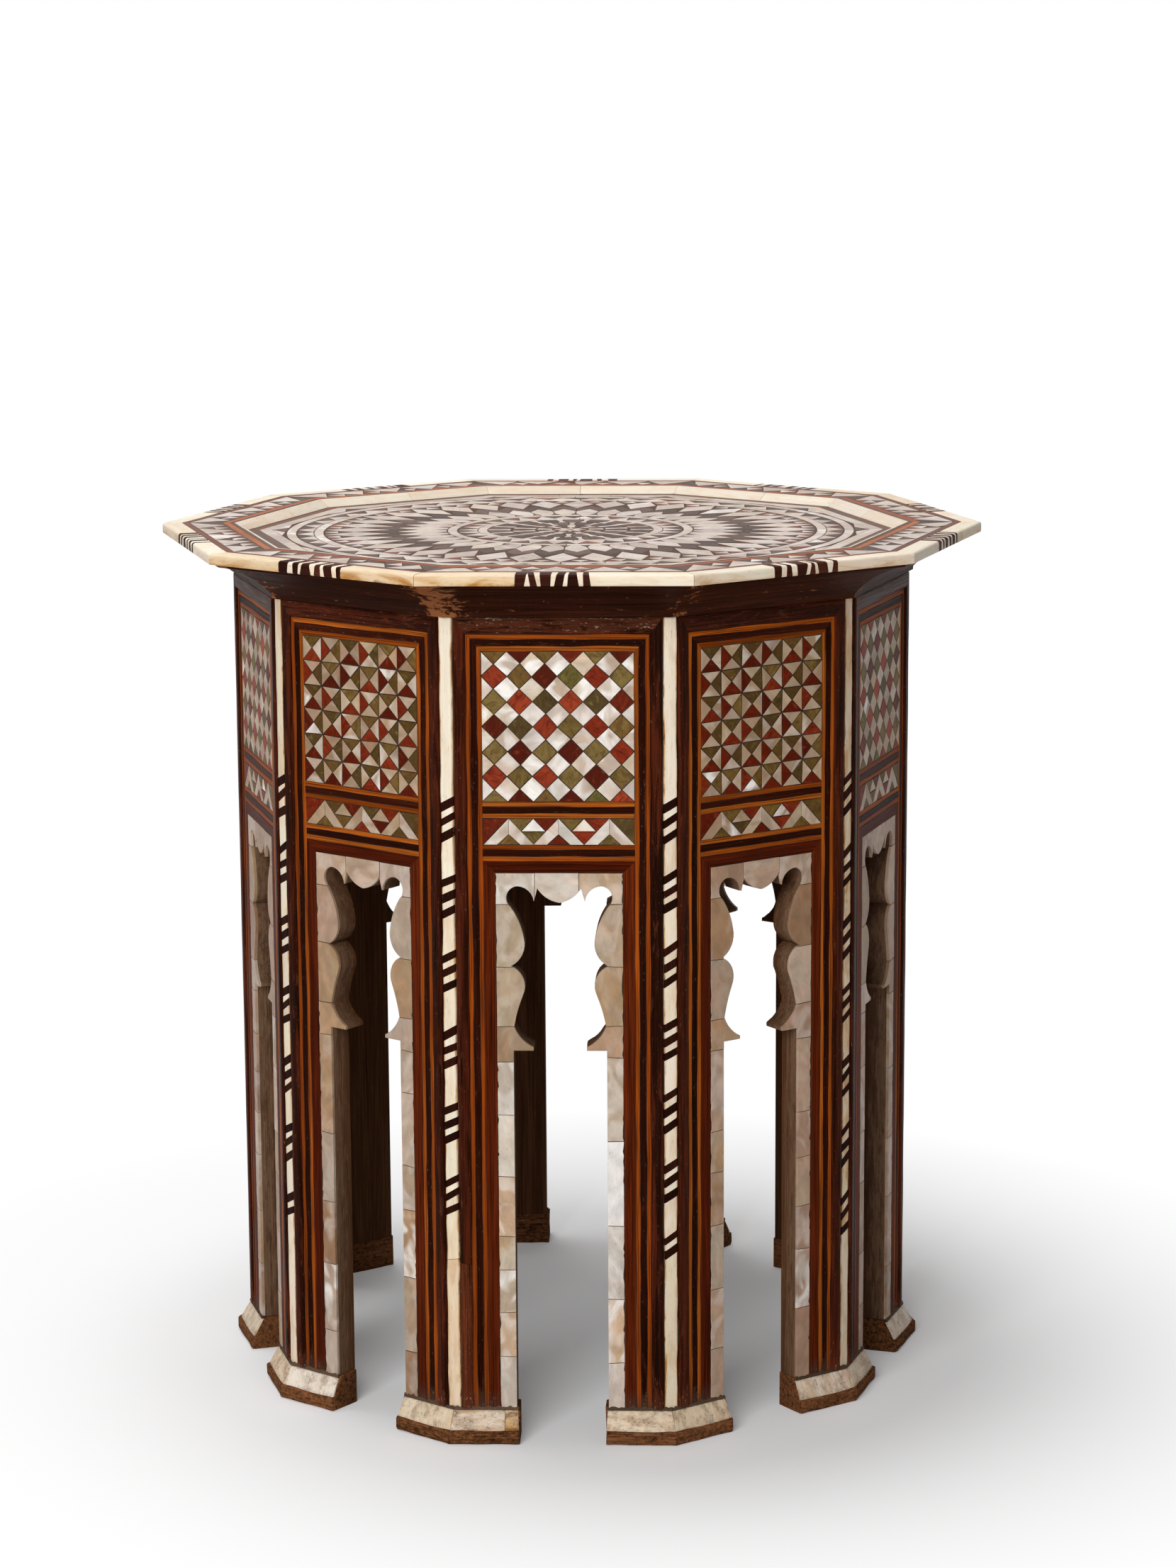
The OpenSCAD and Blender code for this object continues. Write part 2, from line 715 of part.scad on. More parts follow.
module edge_bars() {
    color("#2a140e") for (n = [1:SIDES], i = [0:edge_bars_n - 1])
        along_side(n, -edge_bars_x + i * edge_pitch, -edge_bars_x + i * edge_pitch + edge_bar_w - fit)
            edge_profile();
}

module edge_bone() {
    color("antiquewhite") for (n = [1:SIDES]) {
        for (i = [1:edge_bars_n - 1])
            along_side(n, -edge_bars_x + i * edge_pitch - edge_bar_gap, -edge_bars_x + i * edge_pitch - fit)
                edge_profile();
        intersection() {
            union() {
                along_side(n, -FAR / 2, -edge_bars_x - fit) edge_profile();
                along_side(n, edge_bars_x, FAR / 2) edge_profile();
            }
            sector(n, rim_z - CUT, height + CUT);
        }
    }
}

// Inlay of the rim

module rim_strings() {
    color("peru") for (n = [1:SIDES]) {
        flat_band(n, edge_in_a, rim_band_a, inlay_z, inlay_t);
        flat_band(n, rim_string_a, rim_dark_a, inlay_z, inlay_t);
    }
}

module rim_dark_strings() {
    color("#20100b") for (n = [1:SIDES]) flat_band(n, rim_dark_a, lip_a, inlay_z, inlay_t);
}

// Foot of pearl triangle i on the rim's outer line, and its tip on the inner line
rim_out_half = rim_band_a * tan(HALF);
rim_in_half = rim_string_a * tan(HALF);
function rim_out(i) = [rim_out_half * (2 * i / rim_units - 1), -rim_band_a];
function rim_in(i) = [rim_in_half * (2 * (i + 0.5) / rim_units - 1), -rim_string_a];

module on_rim(n) {
    rotate([0, 0, TURN * (n - 1)]) translate([0, 0, inlay_z]) children();
}

module rim_pearl() {
    color("gainsboro") for (n = [1:SIDES]) on_rim(n) {
        for (i = [0:rim_units - 1]) piece([rim_out(i), rim_out(i + 1), rim_in(i)]);
        for (i = [1:rim_units - 1]) middle_third(rim_out(i), rim_in(i), rim_in(i - 1));
    }
}

module rim_dark() {
    color("#3a2018") for (n = [1:SIDES]) on_rim(n) {
        for (i = [1:rim_units - 1]) corner_thirds(rim_out(i), rim_in(i), rim_in(i - 1));
        piece([rim_out(0), rim_in(0), [-rim_in_half, -rim_string_a]]);
        piece([rim_out(rim_units), [rim_in_half, -rim_string_a], rim_in(rim_units - 1)]);
    }
}

module tray_wall() {
    color("antiquewhite") for (n = [1:SIDES]) mitred_side(n, rim_z, height) polygon([
        [wall_a, rim_z], [wall_a + wall_t, rim_z], [wall_a + wall_t, tray_z],
        [wall_a + wall_t + wall_run * (inlay_z - tray_z) / tray_depth, inlay_z],
        [lip_a, inlay_z], [lip_a, height], [wall_top_a, height], [wall_a, tray_z]
    ]);
}

// Field of the tray

module on_field(a = 0) {
    rotate([0, 0, a]) translate([0, 0, rim_z]) children();
}

module field_band() {
    color("#4a2a1c") for (n = [1:SIDES]) flat_band(n, wall_a, line_a, rim_z, field_t);
}

module field_line() {
    color("gainsboro") for (n = [1:SIDES]) flat_band(n, line_a, spandrel_a, rim_z, field_t);
}

// A ring of curved pieces whose outer radius is r, one piece to each side
module ring(r) {
    seam = mastic_w / r * 180 / PI;
    for (n = [1:SIDES]) on_field(TURN * (n - 1) - HALF)
        rotate_extrude(angle = TURN - seam, $fn = 180) translate([r - ring_w, 0]) square([ring_w, field_t]);
}

module field_rings() {
    color("whitesmoke") {
        for (r = [ring_a_r, ring_b_r, ring_c_r, ring_d_r]) ring(r);
    }
}

// Triangles that stand on the inside of a band between radii r0 and r1, and those between them
module teeth(n, r0, r1, inward) {
    step = 360 / n;
    for (i = [0:n - 1]) on_field(i * step)
        if (inward) piece([polar(r1, -step / 2), polar(r1, step / 2), polar(r0, 0)], field_t);
        else piece([polar(r0, 0), polar(r0, step), polar(r1, step / 2)], field_t);
}

// The triangle between the outer ends of two lozenges
function star_gap() = [
    polar(lozenge_r + 2 * mastic_w, star_turn / 2), polar(star_out_r, star_turn * 0.05),
    polar(star_out_r, star_turn * 0.95)
];

module lozenges() {
    for (i = [0:star_n - 1]) on_field(i * star_turn) piece([
        polar(lozenge_tip_r, 0), polar(lozenge_r, star_turn / 2 - 0.1),
        polar(star_out_r, 0), polar(lozenge_r, -star_turn / 2 + 0.1)
    ], field_t);
}

module sunburst() {
    r0 = ring_c_r + mastic_w;
    for (i = [0:star_n - 1]) on_field((i + 0.5) * star_turn) piece([
        polar(r0, -star_turn / 4), polar(r0, star_turn / 4), polar(burst_notch_r, star_turn / 2),
        polar(burst_r, 0), polar(burst_notch_r, -star_turn / 2)
    ], field_t);
}

// Rosette in the middle: two rings of kites round a small star
module kite(r0, rm, r1, a, half) {
    on_field(a) piece([polar(r0, 0), polar(rm, half), polar(r1, 0), polar(rm, -half)], field_t);
}

module field_pearl() {
    color("gainsboro") {
        teeth(teeth_a, ring_b_r + mastic_w, ring_a_r - ring_w - mastic_w, false);
        lozenges();
        sunburst();
        for (i = [0:star_n - 1]) on_field(i * star_turn)
            let (g = star_gap()) middle_third(g[0], g[1], g[2], field_t);
        teeth(teeth_c, ring_d_r + mastic_w, ring_c_r - ring_w - mastic_w, false);
        for (i = [0:petals - 1]) {
            kite(rosette_r * 0.44, rosette_r * 0.8, rosette_r, i * petal_turn, petal_turn * 0.3);
            kite(0.6, rosette_r * 0.2, rosette_r * 0.42, i * petal_turn, petal_turn * 0.48);
        }
        for (n = [0:SIDES - 1], hand = [-1, 1]) on_field(HALF + n * TURN) piece([
            polar(spandrel_a / cos(HALF), 0), polar(spandrel_a / cos(HALF / 2), hand * HALF / 2),
            polar(spandrel_a, hand * HALF / 5)
        ], field_t);
    }
}

module field_dark() {
    color("#3a2018") {
        teeth(teeth_a, ring_b_r + mastic_w, ring_a_r - ring_w - mastic_w, true);
        teeth(teeth_c, ring_d_r + mastic_w, ring_c_r - ring_w - mastic_w, true);
        for (i = [0:star_n - 1]) on_field(i * star_turn) piece([
            polar(lozenge_tip_r, 0), polar(burst_notch_r, 0), polar(burst_r, star_turn / 2),
            polar(burst_notch_r, star_turn), polar(lozenge_tip_r, star_turn),
            polar((lozenge_r + lozenge_tip_r) / 2, star_turn / 2)
        ], field_t);
        for (i = [0:petals - 1])
            kite(rosette_r * 0.3, rosette_r * 0.62, rosette_r * 0.97, (i + 0.5) * petal_turn, petal_turn * 0.22);
        for (n = [0:SIDES - 1]) on_field(HALF + n * TURN) piece([
            polar(spandrel_a / cos(HALF), 0), polar(spandrel_a, HALF / 5), polar(spandrel_a, -HALF / 5)
        ], field_t);
    }
}

module field_red() {
    color("firebrick") for (i = [0:star_n - 1]) on_field(i * star_turn)
        let (g = star_gap()) corner_thirds(g[0], g[1], g[2], field_t);
}

for (n = [1:SIDES]) {
    side_board(n);
    foot(n);
    cove(n);
}
glue_blocks();
top_planks();
rim_frame();
corner_bone();
corner_bars();
panel_moulding();
panel_strings();
panel_fillets();
panel_bands();
panel_pearl();
panel_red();
panel_green();
arch_pearl();
foot_facing();
edge_bone();
edge_bars();
rim_strings();
rim_dark_strings();
rim_pearl();
rim_dark();
tray_wall();
field_band();
field_line();
field_rings();
field_pearl();
field_dark();
field_red();
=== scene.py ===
"""Looks of the ten-sided inlaid table: hand-cut inlay, woods, bone and pearl on the CAD frame."""

import math
from functools import cached_property
from itertools import product

import bmesh
import bpy
import numpy as np
from mathutils import Matrix, Vector, noise


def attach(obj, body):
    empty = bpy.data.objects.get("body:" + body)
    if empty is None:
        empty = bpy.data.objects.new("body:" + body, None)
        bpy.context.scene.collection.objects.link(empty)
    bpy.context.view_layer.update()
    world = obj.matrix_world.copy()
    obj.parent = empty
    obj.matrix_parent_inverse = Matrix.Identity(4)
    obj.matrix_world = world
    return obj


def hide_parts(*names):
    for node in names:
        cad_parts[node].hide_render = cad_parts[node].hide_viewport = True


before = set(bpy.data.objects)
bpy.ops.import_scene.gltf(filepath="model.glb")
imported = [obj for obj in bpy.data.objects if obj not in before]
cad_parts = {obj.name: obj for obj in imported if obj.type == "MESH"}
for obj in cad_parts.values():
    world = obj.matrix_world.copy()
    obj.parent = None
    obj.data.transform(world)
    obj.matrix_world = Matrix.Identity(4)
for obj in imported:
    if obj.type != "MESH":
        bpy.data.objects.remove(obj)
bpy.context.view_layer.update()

SEED = 20
rng = np.random.default_rng(SEED)
noise.seed_set(SEED)

# Sizes in millimetres, the same as in the CAD source
SIDES = 10
NUMBERS = range(1, SIDES + 1)
TURN = 360.0 / SIDES
HALF = TURN / 2
TAN = math.tan(math.radians(HALF))
COS = math.cos(math.radians(HALF))
SIN = math.sin(math.radians(HALF))
HEIGHT = 560.0
TOP_R = 271.0
BODY_R = TOP_R - 46.8
BOARD_T = 15.0
INLAY_T = 2.0
PLANK_T = 16.0
FOOT_H = 22.0
FOOT_FLARE = 8.4
FOOT_KICK_H = 9.0
FOOT_LEDGE = 1.0
FOOT_TOE = 1.7
FOOT_TIP_W = 8.0
STRIP_W = 8.7
BAR_H = 5.2
BAR_GAP_H = 4.4
BAR_RISE = 4.6
BAR_START = 111.0
MOULDING_W = 7.7
HEADER_H = 10.6
MOULDING_PROUD = 1.6
STRING_W = 2.7
CROSS_STRING_H = 3.1
FILLET_W = 4.1
CROSS_FILLET_H = 4.2
BAND_W = 7.4
FRIEZE_H = 16.5
MASTIC_W = 0.5
FACING_W = 10.4
ARCH_SPRING = 255.5
HOOK_REACH = 12.5
LOBE_REACH = 7.0
HEAD_REACH = 3.6
PENDANT_HALF_W = 13.5
EDGE_H = 7.0
EDGE_W = 12.3
COVE_H = 25.0
COVE_BACK = 6.0
COVE_SAG = 3.0
COVE_LIP = 2.5
TRAY_DEPTH = 5.0
WALL_T = 2.2
RING_W = 6.0
TILES = 6
STAR_N = 40

FACE_A = BODY_R * COS
BOARD_A = FACE_A - INLAY_T
INNER_A = BOARD_A - BOARD_T
STRIP_R = BODY_R - STRIP_W / 2 * TAN
STRIP_BACK_R = STRIP_R - INLAY_T
RIM_Z = HEIGHT - EDGE_H
PLANK_Z = RIM_Z - PLANK_T
BODY_TOP = RIM_Z - COVE_H
INLAY_Z = HEIGHT - INLAY_T
TRAY_Z = HEIGHT - TRAY_DEPTH

# Border lines of a face, from the corner strip to the mosaic: half widths and their levels
MOULD_X = STRIP_BACK_R * SIN - STRIP_W / 2 * COS - 0.05
BORDER_X = [MOULD_X, MOULD_X - MOULDING_W, MOULD_X - MOULDING_W - STRING_W]
BORDER_X += [BORDER_X[2] - FILLET_W, BORDER_X[2] - FILLET_W - STRING_W]
BORDER_Z = [BODY_TOP]
CROSS_BARS = (CROSS_STRING_H, CROSS_FILLET_H, CROSS_STRING_H)
for width in (HEADER_H, *CROSS_BARS):
    BORDER_Z.append(BORDER_Z[-1] - width)
FIELD_X = BORDER_X[4]
FIELD_TOP = BORDER_Z[4]
BAND_X = FIELD_X - BAND_W
TILE = 2 * FIELD_X / TILES
FIELD_BOTTOM = FIELD_TOP - TILES * TILE
LEVELS = [FIELD_BOTTOM]
for width in (*CROSS_BARS, FRIEZE_H, *CROSS_BARS):
    LEVELS.append(LEVELS[-1] - width)
FRIEZE_TOP, FRIEZE_BOTTOM, BAND_TOP = LEVELS[3], LEVELS[4], LEVELS[7]
ARCH_TOP = BAND_TOP - BAND_W
ARCH_RISE = ARCH_TOP - ARCH_SPRING
LEG_X = BAND_X - FACING_W

FOOT_A = FACE_A + FOOT_FLARE
FOOT_END_X = LEG_X - FOOT_TOE

# Rim lines, as distances of the sides from the axis
EDGE_A = TOP_R * COS
RIM_A = [EDGE_A - EDGE_W]
for width in (4.8, 20.9, 4.8, 2.8, 1.4, 7.2, 7.1, 8.4):
    RIM_A.append(RIM_A[-1] - width)
EDGE_IN_A, RIM_BAND_A, RIM_STRING_A, _, LIP_A, WALL_TOP_A, WALL_A, LINE_A, SPANDREL_A = RIM_A
COVE_TOP_A = EDGE_A - COVE_BACK

RING_A_R = SPANDREL_A - 2 * MASTIC_W
RING_B_R = RING_A_R - RING_W - 12.0
STAR_OUT_R = RING_B_R - RING_W - MASTIC_W
LOZENGE_R = STAR_OUT_R - 19.5
LOZENGE_TIP_R = LOZENGE_R - 24.0
BURST_R = LOZENGE_TIP_R - 4.0
BURST_NOTCH_R = BURST_R - 14.0
RING_C_R = BURST_NOTCH_R - 20.0
RING_D_R = RING_C_R - RING_W - 14.0
ROSETTE_R = RING_D_R - RING_W - MASTIC_W

# How far the mastic lies under the surface of the inlay, on the faces and on the top
BED = 0.22
TOP_BED = 0.12

# The inlay of the legs ends a little above the feet
LEG_END = FOOT_H + 0.1

# How long an edge has to be to take a bevel
SHORTEST_EDGE = 0.35


def linear(r, g, b):
    """An 8-bit sRGB colour as linear values."""
    c = np.array([r, g, b], float) / 255
    return np.where(c <= 0.04045, c / 12.92, ((c + 0.055) / 1.055) ** 2.4)


def rgb(*colour):
    """An 8-bit sRGB colour as the value of a colour socket."""
    return (*linear(*colour), 1.0)


# Tints of the pieces; one is drawn for each piece, and shaded a little on its own
TINTS = {
    "pearl": [(208, 188, 168), (198, 178, 160), (216, 200, 184), (190, 168, 147), (212, 190, 164), (204, 192, 180)],
    # The duller rows of pearl, facing, red and green are darker copies of the brighter ones: painted shade for most
    # panels
    "dull_pearl": [(176, 148, 121), (166, 137, 110), (184, 158, 132), (156, 127, 100), (172, 144, 112)],
    "facing": [(192, 172, 147), (178, 152, 120), (204, 188, 172), (186, 166, 150), (196, 166, 136), (228, 222, 218)],
    "dull_facing": [(171, 138, 106), (160, 124, 94), (181, 152, 128), (169, 136, 112), (186, 162, 142)],
    "top_pearl": [(198, 180, 168), (190, 171, 158), (206, 190, 179), (184, 164, 150), (201, 182, 164)],
    "red": [(144, 56, 34), (130, 46, 27), (158, 64, 38), (104, 38, 22), (82, 30, 18), (138, 50, 28)],
    "dull_red": [(118, 40, 18), (104, 33, 13), (126, 46, 22), (92, 28, 11), (80, 25, 11)],
    "green": [(112, 90, 50), (98, 78, 44), (126, 104, 60), (86, 68, 40), (104, 94, 50), (118, 88, 48)],
    "dull_green": [(104, 76, 38), (92, 66, 32), (116, 88, 46), (86, 64, 34)],
    "bone": [(243, 230, 208), (239, 225, 201), (245, 234, 214)],
    "old_bone": [(236, 216, 184), (230, 206, 168), (238, 220, 190)],
    "foot_bone": [(240, 226, 204), (232, 214, 188), (244, 234, 218), (222, 202, 176)],
    "bar": [(40, 16, 9), (34, 13, 8), (48, 20, 12)],
    "edge_bar": [(60, 29, 21), (46, 20, 14), (78, 40, 29)],
    "moulding": [(46, 15, 6), (54, 19, 8), (38, 12, 5), (62, 23, 10)],
    "new_moulding": [(92, 44, 24)],
    "orange": [(156, 76, 20), (146, 68, 17), (166, 86, 26), (138, 62, 15)],
    "fillet": [(44, 15, 7), (36, 12, 6), (54, 20, 9)],
    "band": [(80, 27, 9), (72, 23, 7), (90, 33, 11)],
    "rim_orange": [(160, 84, 40), (150, 76, 36), (168, 94, 48)],
    "rim_brown": [(108, 62, 44), (100, 56, 40), (118, 70, 50)],
    "field_band": [(104, 76, 62), (96, 72, 60), (112, 76, 58)],
    "tray_bone": [(226, 213, 195), (219, 205, 186), (231, 220, 203)],
    "dark": [(88, 66, 56), (78, 58, 49), (98, 76, 66), (70, 52, 44)],
    "warm_dark": [(116, 62, 46), (98, 58, 46), (84, 58, 48), (124, 74, 56)],
    "board": [(88, 56, 36), (80, 50, 32), (96, 62, 40)],
    "foot": [(116, 74, 46), (106, 67, 41), (124, 80, 50)],
    "cove": [(56, 25, 13), (50, 22, 12), (62, 29, 15)],
    "mastic": [(46, 33, 26)],
    "dirt": [(86, 68, 54), (74, 57, 45), (98, 80, 64)],
    "top_mastic": [(96, 76, 64)],
}


# How strongly a white highlight is painted on pieces of nacre, standing for their flashes: the usual range, and how
# many of a hundred get it in full
PAINTED_FLASH = {
    "pearl": (0.4, 1.0, 30), "dull_pearl": (0.0, 0.35, 7), "facing": (0.2, 0.7, 10), "dull_facing": (0.0, 0.4, 5),
    "top_pearl": (0.1, 0.5, 6),
}


def painted_flash(kind):
    """The share of painted white highlight of one piece, for the flashes of nacre, kept as its wear; pieces of other
    kinds have none.
    """
    if kind not in PAINTED_FLASH:
        return 0.0
    low, high, full = PAINTED_FLASH[kind]
    return 1.0 if rng.uniform(0, 100) < full else rng.uniform(low, high)


def tint(kind, spread=0.05):
    """A linear colour for one piece of a kind."""
    choice = TINTS[kind][rng.integers(len(TINTS[kind]))]
    return linear(*choice) * (1 + rng.uniform(-spread, spread)) * (1 + rng.uniform(-0.015, 0.015, 3))


# Outlines

def polar(r, a):
    """The point at radius r, turned by a degrees from -Y towards +X."""
    return np.array([r * math.sin(math.radians(a)), -r * math.cos(math.radians(a))])


def anticlockwise(points):
    p = np.asarray(points, float)
    q = np.roll(p, -1, 0)
    return p if np.sum(p[:, 0] * q[:, 1] - q[:, 0] * p[:, 1]) > 0 else p[::-1]


def drawn_in(p, g):
    """An anticlockwise outline drawn in by g on every side."""
    before = p - np.roll(p, 1, 0)
    after = np.roll(p, -1, 0) - p
    before /= np.linalg.norm(before, axis=1)[:, None]
    after /= np.linalg.norm(after, axis=1)[:, None]
    m = np.column_stack([-before[:, 1], before[:, 0]])
    k = np.column_stack([-after[:, 1], after[:, 0]])
    return p + (m + k) * g / np.maximum(1 + np.sum(m * k, 1), 0.25)[:, None]


def arc(p, m, q, n):
    """Points on the arc from p to q that passes through m, without p itself."""
    d = 2 * (p[0] * (m[1] - q[1]) + m[0] * (q[1] - p[1]) + q[0] * (p[1] - m[1]))
    pp, mm, qq = p @ p, m @ m, q @ q
    c = np.array([
        (pp * (m[1] - q[1]) + mm * (q[1] - p[1]) + qq * (p[1] - m[1])) / d,
        (pp * (q[0] - m[0]) + mm * (p[0] - q[0]) + qq * (m[0] - p[0])) / d,
    ])
    a0 = math.atan2(p[1] - c[1], p[0] - c[0])
    a1 = math.atan2(q[1] - c[1], q[0] - c[0])
    full = 2 * math.pi
    turn = (a1 - a0) % full if d > 0 else -((a0 - a1) % full)
    r = np.linalg.norm(p - c)
    return [c + r * np.array([math.cos(a0 + turn * i / n), math.sin(a0 + turn * i / n)]) for i in range(1, n + 1)]


def clip(points, axis, value, above, slant=0.0):
    """The part of an outline on one side of a line across an axis, which may lean along the other one."""
    sign = 1 if above else -1
    out = []
    for i, q in enumerate(points):
        p = points[i - 1]
        dp, dq = (sign * (e[axis] - value - slant * e[1 - axis]) for e in (p, q))
        if dp * dq < 0:
            out.append(p + (q - p) * dp / (dp - dq))
        if dq >= 0:
            out.append(np.asarray(q, float))
    return out


def arch_at(x, f):
    return np.array([x, ARCH_SPRING + ARCH_RISE * f])


def arch_half():
    """Right-hand half of the arch's outline, from the springing to the crown."""
    start = arch_at(LEG_X - HOOK_REACH, 0.02)
    points = [np.array([LEG_X, ARCH_SPRING]), arch_at(LEG_X - HOOK_REACH, 0), start]
    # arcs, each with a point it passes through, its end and its number of steps
    for through, end, steps in (
        ((LEG_X - 5.4, 0.066), (LEG_X - 0.5, 0.137), 7),
        ((LEG_X - 2.6, 0.22), (LEG_X - LOBE_REACH + 0.8, 0.315), 5),
        ((LEG_X - LOBE_REACH + 0.3, 0.405), (LEG_X + 1.1, 0.478), 9),
        ((LEG_X - LOBE_REACH + 0.9, 0.545), (LEG_X - LOBE_REACH, 0.634), 8),
        ((LEG_X - 3.2, 0.745), (LEG_X + 1.1, 0.81), 6),
        ((LEG_X + HEAD_REACH, 0.873), (LEG_X - 2.8, 0.926), 9),
        ((PENDANT_HALF_W + 6, 0.904), (PENDANT_HALF_W + 2.3, 0.84), 6),
    ):
        points += arc(start, arch_at(*through), arch_at(*end), steps)
        start = arch_at(*end)
    notch = arch_at(PENDANT_HALF_W, 0.912)
    return [*points, notch, *arc(notch, arch_at(PENDANT_HALF_W * 0.6, 0.862), arch_at(0, 0.833), 7)]


def wander(amount, length):
    """A smooth random line: its sideways offset in mm at a place in mm."""
    f = rng.uniform(0.7, 1.4, 4) * np.array([1, 2.1, 4.3, 8.7]) * 2 * math.pi / length
    ph = rng.uniform(0, 2 * math.pi, 4)
    size = amount * np.array([0.6, 0.4, 0.22, 0.12])

    def offset(t):
        t = np.asarray(t, float)
        return sum(size[i] * np.sin(f[i] * t + ph[i]) for i in range(4))
    return offset


# Places: matrices from a piece's own plane to the table, in mm

def turned(a):
    c, s = math.cos(math.radians(a)), math.sin(math.radians(a))
    return np.array([[c, -s, 0], [s, c, 0], [0, 0, 1.0]])


def place(rotation, origin=(0, 0, 0)):
    m = np.eye(4)
    m[:3, :3] = rotation
    m[:3, 3] = origin
    return m


STANDING = np.array([[1.0, 0, 0], [0, 0, -1.0], [0, 1.0, 0]])


def upright_place(a, depth):
    """Drawn with x along the face, y up and z outwards, at a distance from the axis."""
    r = turned(a)
    return place(r @ STANDING, r @ np.array([0, -depth, 0]))


def on_face(n):
    return upright_place(TURN * (n - 1), BOARD_A)


def on_side(n, z=0.0):
    """Drawn with x along side n and y into the table, above a level."""
    return place(turned(TURN * (n - 1)), (0, 0, z))


class Pieces:
    """Closed pieces gathered into one mesh, each with its tint, its grain and its wear."""

    def __init__(self):
        self.points, self.faces, self.tints, self.grains, self.wears = [], [], [], [], []
        self.count = 0

    def put(self, points, faces, colour, at, fibre=0.0, wear=0.0):
        """Adds one piece. fibre is the direction of its grain in its own plane, in degrees."""
        p = np.asarray(points, float)
        c, s = math.cos(math.radians(fibre)), math.sin(math.radians(fibre))
        g = np.column_stack([p[:, 0] * c + p[:, 1] * s, p[:, 1] * c - p[:, 0] * s, p[:, 2]])
        self.points.append(p @ at[:3, :3].T + at[:3, 3])
        self.faces += [[i + self.count for i in f] for f in faces]
        self.tints.append(np.broadcast_to(colour, (len(p), 3)))
        self.grains.append(g + rng.uniform(0, 900, 3))
        self.wears.append(np.broadcast_to(wear, (len(p),)))
        self.count += len(p)

    def prism(self, outline, low, high, colour, at, bevel, fibre=None, wear=0.0, lean=0.0):
        """A flat piece with bevelled upper edges; lean tips its surface by up to that many mm."""
        p = anticlockwise(outline)
        n = len(p)
        if fibre is None:
            fibre = rng.uniform(0, 180)
        middle = p.mean(0)
        reach = np.abs(p - middle).max()
        slope = rng.uniform(-1, 1, 2) * lean / max(reach, 1)
        inner = drawn_in(p, bevel)
        rings = [
            np.column_stack([p, np.full(n, low)]),
            np.column_stack([p, high - bevel + (p - middle) @ slope]),
            np.column_stack([inner, high + (inner - middle) @ slope]),
        ]
        faces = [list(range(n))[::-1], list(range(2 * n, 3 * n))]
        for k in (0, n):
            faces += [[k + i, k + (i + 1) % n, k + n + (i + 1) % n, k + n + i] for i in range(n)]
        self.put(np.vstack(rings), faces, colour, at, fibre, wear)

    def loft(self, grid, colour, at, fibre=0.0, wear=0.0):
        """A closed outline carried through stations: grid is stations x points x 3."""
        grid = np.asarray(grid, float)
        s, k, _ = grid.shape
        faces = [list(range(k))[::-1], list(range((s - 1) * k, s * k))]
        for i in range(s - 1):
            faces += [[i * k + j, i * k + (j + 1) % k, (i + 1) * k + (j + 1) % k, (i + 1) * k + j] for j in range(k)]
        self.put(grid.reshape(-1, 3), faces, colour, at, fibre, wear)

    def build(self, name, material, nodes, slot, sharp=32):
        """Makes the object, in metres, and hides the CAD nodes it stands for."""
        mesh = bpy.data.meshes.new(name)
        mesh.from_pydata((np.vstack(self.points) / 1000).tolist(), [], self.faces)
        for label, kind, values, rows in (
            ("tint", "FLOAT_COLOR", "color", np.column_stack([np.vstack(self.tints), np.ones(self.count)])),
            ("grain", "FLOAT_VECTOR", "vector", np.vstack(self.grains)),
            ("wear", "FLOAT", "value", np.concatenate(self.wears)),
        ):
            layer = mesh.attributes.new(label, kind, "POINT")
            layer.data.foreach_set(values, np.ascontiguousarray(rows, np.float32).ravel())
        bm = bmesh.new()
        bm.from_mesh(mesh)
        bmesh.ops.recalc_face_normals(bm, faces=bm.faces)
        bm.to_mesh(mesh)
        bm.free()
        mesh.shade_smooth()
        mesh.set_sharp_from_angle(angle=math.radians(sharp))
        mesh.materials.append(material)
        obj = bpy.data.objects.new(name, mesh)
        bpy.context.scene.collection.objects.link(obj)
        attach(obj, "root")
        if nodes:
            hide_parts(*nodes)


# Materials

